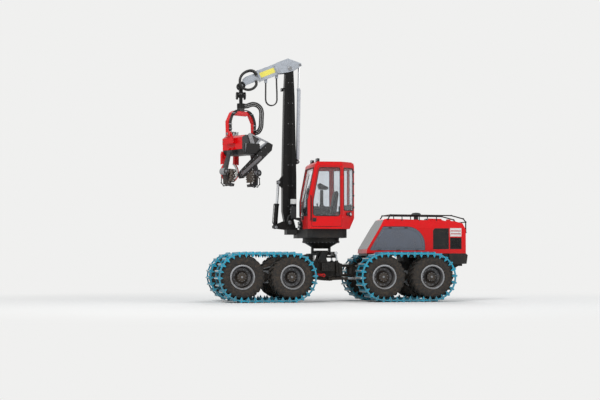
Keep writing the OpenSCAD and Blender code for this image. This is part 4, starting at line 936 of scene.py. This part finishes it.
# (X from the slewing axis, Y) of the middle of the crane's valve block, which has five slices
valve_x, valve_y, slice_count, slice_pitch = 0.85, -0.06, 5, 0.038


def build_valves():
    """Valve block of the crane on its posts, with the pale box over it."""
    form = bmesh.new()
    x, y = valve_x, valve_y - cab_y
    # plate from the lamps' bracket with its shelf and two gussets
    add_block(form, in_cab(0.625, y - 0.09, 0.20), in_cab(0.639, y + 0.09, 0.36))
    add_block(form, in_cab(0.625, y - 0.10, 0.348), in_cab(x + 0.09, y + 0.10, 0.362))
    for b in (-0.088, 0.078):
        add_prism(form, cab_side((0.639, 0.26), (x + 0.06, 0.348), (0.639, 0.348)), valve_y + b,
                  valve_y + b + 0.010)
    add_block(form, in_cab(x - 0.075, y - 0.10, 0.362), in_cab(x + 0.075, y + 0.10, 0.70))
    for k in range(slice_count):
        b = y - 0.088 + slice_pitch * k
        add_block(form, in_cab(x - 0.082, b, 0.375), in_cab(x + 0.082, b + 0.024, 0.685))
    for a in (-0.04, 0.04):
        add_bar(form, in_cab(x + a, y, 0.68), in_cab(x + a, y, 0.80), 0.010)
    new_piece("crane_valves", form, black_plastic, "platform", bevel=0.003)
    form = bmesh.new()
    for k in range(slice_count):
        for z in (0.44, 0.53, 0.62):
            add_bolt(form, in_cab(x + 0.081, y - 0.076 + slice_pitch * k, z), (1, 0, 0), 0.022, 0.016)
    new_piece("valve_ports", form, bolt_zinc, "platform")
    form = bmesh.new()
    add_block(form, in_cab(x - 0.08, y - 0.09, 0.78), in_cab(x + 0.08, y + 0.09, 0.93))
    new_piece("pale_box", form, louvre_white, "platform", bevel=0.012)


def build_foot_hoses():
    """Hoses from the valve block, down past the lamps and through the platform."""
    for k in range(slice_count):
        side, floor = valve_y - 0.076 + slice_pitch * k - cab_y, -0.34 - 0.036 * (4 - k) - cab_y
        bends = ((0.082, side, 0.44), (0.117, side, 0.435), (0.152, side - 0.02, 0.38),
                 (0.157, side - 0.10, 0.27), (0.137, floor + 0.05, 0.16), (0.117, floor, 0.09),
                 (0.112, floor, 0.055))
        hose_piece(f"foot_hose_{k + 1}", [in_cab(valve_x + x, y, z) for x, y, z in bends], 0.014, "platform")


build_inside()
build_valves()
build_foot_hoses()

# Hood: gaps round the panels, pressed ribs, knobs, louvre and lamps

hood_half = 0.600
arch_x, arch_z, arch_r = steer_x - 1.640, 1.730, 0.560
door_gap = ((1.110, 1.600), (1.110, 2.180), (1.050, 2.240), (0.610, 2.240), (0.610, 1.600))
door_rib = ((1.070, 1.640), (1.070, 2.165), (1.035, 2.200), (0.650, 2.200), (0.650, 1.640))
slat = ((-0.012, 0.0), (0.0, -0.004), (0.004, 0.012), (-0.008, 0.018))


def arched(grow):
    """Outline of the large side panel, moved inwards by a distance."""
    low, radius = 1.560 + grow, arch_r - grow
    slope = [(steer_x - 0.470 - grow * 1.2, low), (steer_x - 0.480 - grow * 1.2, 1.620),
             (steer_x - 0.880 - grow * 0.4, 2.290 - grow)]
    arc = [(arch_x - radius * math.cos(math.radians(a)), arch_z + radius * math.sin(math.radians(a)))
           for a in range(90, -1, -15)]
    return slope + arc + [(arch_x - radius, low)]


def build_hood():
    for side, s in (("l", 1), ("r", -1)):
        y = s * (hood_half - 0.001)
        for name, grow, radius, material in (("panel_gap_", 0.0, 0.0045, black_plastic),
                                             ("panel_rib_", 0.07, 0.008, panel_grey)):
            seal_piece(name + side, [Vector((x, y, z)) for x, z in arched(grow)], radius, "rear_frame",
                       material, 0.03)
        curve_piece("door_gap_" + side, [Vector((tail_x + x, y, z)) for x, z in door_gap], 0.0045,
                    black_plastic, "rear_frame", closed=True)
        seal_piece("door_rib_" + side, [Vector((tail_x + x, y, z)) for x, z in door_rib], 0.007, "rear_frame",
                   frame_black, 0.03)
        form = bmesh.new()
        # knobs and paddle latches of the doors, hinges of the large panel
        for z in (2.10, 1.75):
            add_turned(form, [(0, 0.022), (0.006, 0.022), (0.008, 0.014), (0.018, 0.020), (0.03, 0.020),
                              (0.034, 0.014)], (tail_x + 0.66, s * (hood_half - 0.002), z), (0, s, 0), 16)
        for back in (0.75, 1.35, 1.95):
            x, out = steer_x - back, s * (hood_half + 0.003)
            add_bar(form, (x - 0.05, out, 1.575), (x + 0.05, out, 1.575), 0.009)
        low, high = sorted((s * 0.596, s * 0.606))
        for back in (1.1, 1.6):
            x, z = steer_x - back, 2.25
            add_block(form, (x - 0.05, low, z - 0.018), (x + 0.05, high, z + 0.018))
        new_piece("hood_latches_" + side, form, black_plastic, "rear_frame", bevel=0.002)
        # slats of the grille, set slanting in their frame
        form = bmesh.new()
        for k in range(8):
            add_prism(form, [(out, 1.635 + 0.04 * k + z) for out, z in slat], tail_x + 0.225, tail_x + 0.545,
                      Matrix.Translation((0, y, 0)) @ crosswise(s))
        new_piece("grille_slats_" + side, form, boom_black, "rear_frame")
    # rear grille with its frame, and the tail lamps
    form = bmesh.new()
    for k in range(14):
        z = 1.62 + 0.04 * k
        add_block(form, (tail_x + 0.052, -0.42, z), (tail_x + 0.0605, 0.42, z + 0.018))
    for y in (-0.44, 0.42):
        add_block(form, (tail_x + 0.05, y, 1.60), (tail_x + 0.0605, y + 0.02, 2.19))
    new_piece("rear_grille", form, boom_black, "rear_frame", bevel=0.002)
    form = bmesh.new()
    for y in (-0.5, 0.5):
        add_turned(form, [(0, 0.045), (0.02, 0.045), (0.026, 0.03)], (tail_x + 0.028, y, 1.30), (-1, 0, 0.08),
                   20)
    new_piece("tail_lamps", form, tail_red, "rear_frame")
    # bars between the air slots of the intake's cap
    form = bmesh.new()
    x, y = steer_x - 2.030, 0.200
    for a, b in on_circle(14, 0.115):
        add_bar(form, (x + a, y + b, 2.610), (x + a, y + b, 2.642), 0.006, 6)
    new_piece("intake_louvres", form, black_plastic, "rear_frame")


build_hood()

# Crane: pin covers, pipes on the cylinders, clamp bolts, sign, dampers and the hoses round the boom's end


def add_cover(form, place, axis, radius):
    """Round cover over a pin's end, with three bolts and a grease nipple."""
    add_turned(form, [(0, radius), (0.008, radius), (0.012, radius * 0.9)], place, axis, 20)
    axis = Vector(axis).normalized()
    across = axis.orthogonal().normalized()
    third = axis.cross(across)
    for k in range(3):
        t = 2 * math.pi * k / 3 + 0.5
        out = radius * 0.6 * (math.cos(t) * across + math.sin(t) * third)
        add_bolt(form, Vector(place) + axis * 0.011 + out, axis, radius * 0.34, 0.010)
    add_turned(form, [(0.011, 0.006), (0.02, 0.006), (0.024, 0.003)], place, axis, 8)


def build_pin_covers():
    # (piece, body, X, Z, middle and distance of the faces in Y, radius)
    for name, body, x, z, mid, half, radius in (
            ("foot_pin_covers", "platform", foot_x, boom_z, boom_y, 0.2, 0.062),
            ("lift_pin_covers", "platform", foot_x + 0.430, boom_z - 0.140, boom_y, 0.195, 0.045),
            ("knee_pin_covers", "outer_boom", foot_x, knee_z, boom_y, 0.185, 0.07),
            ("lever_pin_covers", "outer_boom", foot_x - 0.319, knee_z + 0.116, boom_y, 0.182, 0.036),
            ("lift_rod_covers", "main_boom", foot_x + 0.330, boom_z + 1.250, boom_y, 0.075, 0.05),
            ("stick_pin_covers", "main_boom", foot_x - 0.265, boom_z + 1.890, boom_y, 0.08, 0.032),
            ("tip_pin_covers", "tip_link", tip.x, tip.z, boom_y, 0.158, 0.048),
            ("arm_pin_covers", "mid_frame", arm_x, 1.280, 0.0, 0.36, 0.06)):
        form = bmesh.new()
        for side in (1, -1):
            add_cover(form, (x, mid + side * half, z), (0, side, 0), radius)
        new_piece(name, form, bolt_zinc, body)
    form = bmesh.new()
    for side in (1, -1):
        add_cover(form, on_head(0, side * 0.535, tilt_z), head_way(0, side, 0), 0.05)
    new_piece("tilt_pin_covers", form, bolt_zinc, "rotator")


def add_pipe(form, a, b, off, seat, radius):
    """Steel pipe beside a cylinder, with a port block at each end that stands in the barrel's wall."""
    way = (b - a).normalized()
    add_bar(form, a + off, b + off, radius)
    for place in (a, b):
        add_turned(form, [(seat, radius * 1.9), (off.length * 0.95, radius * 1.9)], place, off, 8)
    for k in range(3):
        clip = a + off * 0.55 + (b - a) * (k + 1) / 4
        add_bar(form, clip - way * 0.012, clip + way * 0.012, radius * 2.2, 8)


def build_pipes():
    # (piece, body, material, lower and upper pin, ends from the lower pin, side, gap, seat, radius)
    for name, body, material, low, high, ends, side, gap, seat, radius in (
            ("lift_pipe", "lift_barrel", boom_black, (0.430, boom_z - 0.140), (0.330, boom_z + 1.250),
             (0.12, 0.70), 1, 0.092, 0.062, 0.011),
            ("stick_pipe", "stick_barrel", boom_silver, (-0.265, boom_z + 1.890), (-0.319, knee_z + 0.116),
             (0.10, 2.25), -1, 0.062, 0.041, 0.009)):
        low, high = [Vector((foot_x + x, boom_y, z)) for x, z in (low, high)]
        way = (high - low).normalized()
        out = way.cross(Vector((0, 1, 0))).normalized()
        form = bmesh.new()
        add_pipe(form, low + way * ends[0], low + way * ends[1], out * math.copysign(gap, out.x * side), seat,
                 radius)
        new_piece(name, form, material, body)


def build_crane_trim():
    # bolts of the pipe clamps on the main boom's left flank
    form = bmesh.new()
    for k in range(7):
        for x in (-0.086, 0.050):
            add_bolt(form, (foot_x + x, boom_y + 0.172, boom_z + 0.505 + 0.64 * k), (0, 1, 0), 0.018, 0.010)
    new_piece("clamp_bolts", form, bolt_zinc, "main_boom")
    # blank sign on the outer boom's left flank
    form = bmesh.new()
    add_block(form, (0.46, 0.1402, 0.045), (0.955, 0.1435, 0.205), outer_pose)
    new_piece("boom_sign", form, sign_yellow, "outer_boom", bevel=0.001)
    form = bmesh.new()
    left = outer_pose.to_3x3() @ Vector((0, 1, 0))
    for x, z in ((0.475, 0.06), (0.94, 0.06), (0.475, 0.19), (0.94, 0.19)):
        add_turned(form, [(0, 0.008), (0.003, 0.007), (0.004, 0.003)], on_outer(x, 0.1434, z), left, 10)
    # bolts along the wear pads of the sliding boom, on both sides, except behind the sign
    for side in (1, -1):
        for k in (0, 4) if side > 0 else range(5):
            for z in (0.02, 0.235):
                add_bolt(form, on_outer(0.45 + 0.12 * k, side * 0.14, z), side * left, 0.020, 0.010)
    new_piece("boom_bolts", form, bolt_zinc, "outer_boom")
    # welded-on pressed rib round the outer boom's mouth
    form = bmesh.new()
    for low, high in (((0.955, 0.14, -0.05), (1.0, 0.152, 0.31)),
                      ((0.955, -0.152, -0.05), (1.0, -0.14, 0.31)),
                      ((0.955, -0.14, 0.295), (1.0, 0.14, 0.309))):
        add_block(form, low, high, outer_pose)
    new_piece("mouth_rib", form, boom_silver, "outer_boom", bevel=0.003)


def build_dampers():
    """Friction dampers on both pins of the link, which calm the head's swinging."""
    drum = [(0.0, 0.09), (0.004, 0.118), (0.040, 0.122), (0.046, 0.112), (0.052, 0.112), (0.055, 0.08)]
    x, y = Vector((1, 0, 0)), Vector((0, 1, 0))
    for name, body, axis, across, drop, gap in (("tip_dampers", "tip_link", y, x, 0.0, 0.103),
                                                ("swing_dampers", "swing_link", x, y, 0.300, 0.092)):
        form = bmesh.new()
        for side in (1, -1):
            centre = Vector((tip.x, boom_y, tip.z - drop)) + side * gap * axis
            add_turned(form, drum, centre, side * axis, 28)
            for a, b in on_circle(8, 0.096):
                face = centre + side * 0.051 * axis
                add_bolt(form, face + a * across + Vector((0, 0, b)), side * axis, 0.018, 0.009)
        new_piece(name, form, boom_black, body)


def build_tip_hoses():
    """Hoses that run in a ring from the sliding boom round its end to the link."""
    ring = [(1.045, 0.20), (1.06, 0.30), (1.16, 0.385), (1.33, 0.405), (1.50, 0.35), (1.62, 0.22),
            (1.655, 0.06), (1.60, -0.09), (1.46, -0.185), (1.29, -0.19), (1.16, -0.115), (1.13, -0.01)]
    mid_x, mid_z = 1.33, 0.10
    for number, (y, swell) in enumerate(((0.130, 0.86), (0.172, 1.0), (0.214, 0.93)), 1):
        bends = [(mid_x + (x - mid_x) * swell, y, mid_z + (z - mid_z) * swell) for x, z in ring]
        bends = [(1.045, 0.098, 0.17 + 0.02 * number), *bends, (1.13, 0.098, 0.03 - 0.02 * number)]
        hose_piece(f"tip_hose_{number}", [on_outer(*p) for p in bends], 0.021, "extension")
    form = bmesh.new()
    add_block(form, (1.02, 0.0995, 0.14), (1.10, 0.125, 0.245), outer_pose)
    add_block(form, (1.085, 0.0995, -0.05), (1.165, 0.125, 0.05), outer_pose)
    new_piece("tip_couplings", form, bolt_zinc, "extension", bevel=0.004)


build_pin_covers()
build_pipes()
build_crane_trim()
build_dampers()
build_tip_hoses()

# Head: red cover, bolts, hoses, saw chain

# (X, Y, Z) of the left knife hose, from the cover round and back into it
knife_bends = ((-0.478, 0.05, -0.20), (-0.54, 0.055, -0.205), (-0.63, 0.07, -0.23), (-0.69, 0.09, -0.30),
               (-0.69, 0.11, -0.38), (-0.63, 0.12, -0.43), (-0.54, 0.12, -0.44), (-0.478, 0.12, -0.44))
# (X, part that Y is spread by, Z) of the hoses from the ports on the frame's top into the cover
port_bends = ((-0.300, 1.0, -0.006), (-0.300, 1.0, 0.045), (-0.315, 1.1, 0.09), (-0.35, 1.4, 0.11),
              (-0.40, 1.7, 0.085), (-0.43, 1.9, 0.02), (-0.435, 2.0, -0.05))


def build_head():
    form = bmesh.new()
    outer = [(-0.338, -0.31), (-0.338, -0.117), (-0.204, -0.032), (0.204, -0.032), (0.338, -0.117),
             (0.338, -0.31)]
    inner = [(y * 0.982, z - 0.006 if abs(z) < 0.2 else z) for y, z in outer]
    outline = [(y, tilt_z + z) for y, z in outer + inner[::-1]]
    add_prism(form, outline, -0.486, -0.165, head_pose @ crosswise())
    new_piece("head_cover", form, red_enamel, "head_body", bevel=0.002)
    form = bmesh.new()
    for x in (-0.45, -0.2):
        for y, z, lean in ((-0.27, -0.073, -0.35), (0.27, -0.073, 0.35), (-0.339, -0.2, -1.57),
                           (0.339, -0.2, 1.57)):
            out = head_way(0, math.sin(lean), math.cos(lean))
            add_bolt(form, on_head(x, y, tilt_z + z), out, 0.026, 0.014)
    # saw box: bolts along both edges
    for k in range(7):
        for y, z in ((-0.33, -1.335), (-0.43, -1.17)):
            place = on_head(0.5895, y + 0.155 * k, tilt_z + z + 0.1265 * k)
            add_bolt(form, place, head_way(1, 0, 0), 0.022, 0.005)
    new_piece("head_bolts", form, bolt_zinc, "head_body")
    for number, y in enumerate((-0.12, -0.06, 0.0, 0.06, 0.12), 1):
        hose_piece(f"port_hose_{number}", [on_head(x, y * spread, tilt_z + z) for x, spread, z in port_bends],
                   0.014, "head_body")
    for number, side in enumerate((-1, 1), 1):
        hose_piece(f"knife_hose_{number}", [on_head(x, side * y, tilt_z + z) for x, y, z in knife_bends],
                   0.016, "head_body")
    # motor bolts on the feed arms
    for name, side in (("l", 1), ("r", -1)):
        form = bmesh.new()
        y, z = side * 0.645, stem_z - 0.03
        for face in (1, -1):
            for a, b in on_circle(6, 0.078):
                add_bolt(form, on_head(face * 0.105, y + a, z + b), head_way(face, 0, 0), 0.022, 0.012)
            add_turned(form, [(0, 0.045), (0.012, 0.045), (0.02, 0.03)], on_head(face * 0.105, y, z),
                       head_way(face, 0, 0), 14)
        new_piece("motor_bolts_" + name, form, bolt_zinc, "feed_arm_" + name)
    # bolts through the top of the yoke
    form = bmesh.new()
    for side in (1, -1):
        for x in (-0.05, 0.05):
            add_bolt(form, on_head(x, side * 0.2, flange_z - 0.09), (0, 0, -1), 0.03, 0.016)
            add_bolt(form, on_head(x, side * 0.27, flange_z - 0.001), (0, 0, 1), 0.03, 0.016)
    new_piece("yoke_bolts", form, bolt_zinc, "rotator")


def build_chain():
    """Cutting chain round the bar: drive links with a tooth on every second one."""
    saw_y, saw_z, pitch = -0.450, tilt_z - 1.290, 0.026
    track = [(saw_y - 0.05, saw_z - 0.01), (saw_y - 0.01, saw_z - 0.05), (0.320, tilt_z - 0.760),
             (0.350, tilt_z - 0.690), (0.280, tilt_z - 0.670), (saw_y - 0.03, saw_z + 0.045)]
    form = bmesh.new()
    for start, end in zip(track, track[1:] + track[:1]):
        a, b = Vector((0, *start)), Vector((0, *end))
        way = (b - a).normalized()
        out = Vector((0, way.z, -way.y))
        count = max(1, round((b - a).length / pitch))
        for k in range(count):
            place = a + (b - a) * (k + 0.5) / count
            tall = 0.014 if k % 2 else 0.007
            rows = []
            for x in (0.602, 0.610):
                for along, up in ((-0.010, -0.006), (0.010, -0.006), (0.010, tall * 0.6), (-0.004, tall)):
                    p = place + way * along + out * up
                    rows.append(form.verts.new(on_head(x, p.y, p.z)))
            for quad in ((0, 1, 2, 3), (7, 6, 5, 4), (0, 4, 5, 1), (1, 5, 6, 2), (2, 6, 7, 3), (3, 7, 4, 0)):
                form.faces.new([rows[q] for q in quad])
    new_piece("saw_chain", form, roller_steel, "saw_bar")


def build_yoke_hoses():
    """Hoses that follow the yoke from the rotator down to both tilt pins, held by clips."""
    clips = bmesh.new()
    for side, name in ((1, "l"), (-1, "r")):
        for number in range(3):
            x, inward = 0.092 + 0.004 * number, 0.034 * number
            bends = ((0.06, 0.10, flange_z + 0.03), (x - 0.01, 0.16, flange_z + 0.035),
                     (x, 0.27, flange_z + 0.012 - inward),
                     (x, 0.385 - inward * 0.6, flange_z - 0.065 - inward),
                     (x, 0.455 - inward, flange_z - 0.17), (x, 0.515 - inward, tilt_z + 0.375),
                     (x, 0.515 - inward, tilt_z + 0.24), (x, 0.512 - inward, tilt_z + 0.13),
                     (x - 0.03, 0.51 - inward, tilt_z + 0.085))
            hose_piece(f"yoke_hose_{name}{number + 1}", [on_head(a, side * b, z) for a, b, z in bends],
                       0.0145, "rotator")
        for y, z in ((0.36, flange_z - 0.075), (0.48, tilt_z + 0.30), (0.478, tilt_z + 0.16)):
            low, high = sorted((side * (y - 0.055), side * (y + 0.055)))
            add_block(clips, (0.070, low, z - 0.014), (0.116, high, z + 0.014), head_pose)
    new_piece("yoke_clips", clips, bolt_zinc, "rotator", bevel=0.003)


build_head()
build_chain()
build_yoke_hoses()

# Chassis: step edges, slip strips, hoses on the mid frame, bolts of the ring and the bogies


def build_chassis():
    form = bmesh.new()
    for z in (1.000, 1.220, 1.440):
        for k in range(7):
            x = arm_x - 0.33 + 0.0155 * k
            add_block(form, (x, 0.43, z + 0.0115), (x + 0.006, 0.595, z + 0.0155))
    new_piece("step_teeth", form, bolt_zinc, "mid_frame")
    form = bmesh.new()
    add_block(form, (arm_x - 0.2355, -0.40, 1.4595), (arm_x - 0.1945, 0.40, 1.464))
    for z in (1.10, 1.19, 1.28, 1.37):
        add_block(form, (arm_x - 0.1955, -0.27, z), (arm_x - 0.1925, 0.27, z + 0.022))
    new_piece("slip_strips", form, lattice_grey, "mid_frame", bevel=0.001)
    back = steer_x + 0.33
    for number, y in enumerate((-0.20, -0.16, -0.12, -0.08), 1):
        # up out of the frame's top behind the levelling lever, which comes down to 20 mm over it
        bends = ((slew_x - 0.412, y, 1.180), (slew_x - 0.420, y, 1.200), (slew_x - 0.440, y, 1.212),
                 (slew_x - 0.470, y * 1.03, 1.206), (back + 0.10, y * 1.08, 1.196),
                 (back + 0.05, y * 1.1, 1.188), (back + 0.02, y * 1.1, 1.17), (back + 0.01, y * 1.1, 1.13))
        hose_piece(f"frame_hose_{number}", bends, 0.016, "mid_frame")
    form = bmesh.new()
    for a, b in on_circle(28, 0.545, 0.5):
        add_bolt(form, (slew_x + a, b, 1.799), (0, 0, -1), 0.026, 0.016)
    new_piece("ring_bolts", form, bolt_zinc, "slew_ring")
    for corner, (x, side) in bogies.items():
        form = bmesh.new()
        add_turned(form, [(0, 0.15), (0.02, 0.15), (0.03, 0.13), (0.034, 0.05)], (x, side * 0.6295, axle_z),
                   (0, side, 0), 24)
        for a, b in on_circle(12, 0.125):
            add_bolt(form, (x + a, side * 0.655, axle_z + b), (0, side, 0), 0.024, 0.014)
        new_piece("bogie_cover_" + corner, form, bogie_black, "bogie_" + corner)


build_chassis()

# Floor, backdrop and lamps

backdrop = rgb("#F0F0EF")
floor_half = 90.0


def seen_part(owner):
    """1 for a ray from the camera, off gloss or through glass, else 0."""
    ray = add(owner, "LightPath").outputs
    seen = add(owner, "Math", {0: ray["Is Camera Ray"], 1: ray["Is Glossy Ray"]}, operation="MAXIMUM")
    seen = add(owner, "Math", {0: seen.outputs[0], 1: ray["Is Transmission Ray"]}, operation="MAXIMUM")
    return seen.outputs[0]


def lay_floor():
    mesh = bpy.data.meshes.new("floor")
    mesh.from_pydata([(a * floor_half, b * floor_half, 0) for a, b in ((-1, -1), (1, -1), (1, 1), (-1, 1))],
                     [], [(0, 1, 2, 3)])
    material, surface, place = new_material("studio_floor", Roughness=0.95, Base_Color=rgb("#F3F3F1"))
    # far from the machine the floor passes into the backdrop
    away = add(material, "VectorMath", {0: place}, operation="LENGTH").outputs["Value"]
    far = add(material, "MapRange", {"Value": away, "From Min": 4.0, "From Max": 17.0},
              interpolation_type="SMOOTHSTEP").outputs["Result"]
    part = add(material, "Math", {0: far, 1: seen_part(material)}, operation="MULTIPLY").outputs[0]
    pale = add(material, "Emission", {"Color": backdrop}).outputs[0]
    mixed = add(material, "MixShader", {"Fac": part, 1: surface.outputs[0], 2: pale}).outputs[0]
    material.node_tree.links.new(mixed, material.node_tree.nodes["Material Output"].inputs["Surface"])
    mesh.materials.append(material)
    new_object("floor", mesh)


def light_studio():
    world = bpy.data.worlds.new("studio")
    world.use_nodes = True
    sky = world.node_tree.nodes["Background"]
    sky.inputs["Color"].default_value = rgb("#E6E9EE")
    sky.inputs["Strength"].default_value = 0.5
    pale = add(world, "Background", {"Color": backdrop}).outputs[0]
    mixed = add(world, "MixShader", {"Fac": seen_part(world), 1: sky.outputs[0], 2: pale}).outputs[0]
    world.node_tree.links.new(mixed, world.node_tree.nodes["World Output"].inputs["Surface"])
    bpy.context.scene.world = world
    for name, place, size, power in (("key", (12, 17, 18), 9.0, 3300), ("fill", (-18, 12, 9), 12.0, 1100),
                                     ("back", (-6, -18, 14), 10.0, 1500)):
        data = bpy.data.lights.new(name, "AREA")
        data.energy, data.size = power, size
        lamp = new_object(name, data)
        lamp.location = place
        lamp.rotation_euler = (Vector((0, 0, 2.5)) - Vector(place)).to_track_quat("-Z", "Y").to_euler()
    bpy.context.scene.view_settings.view_transform = "Standard"


lay_floor()
light_studio()
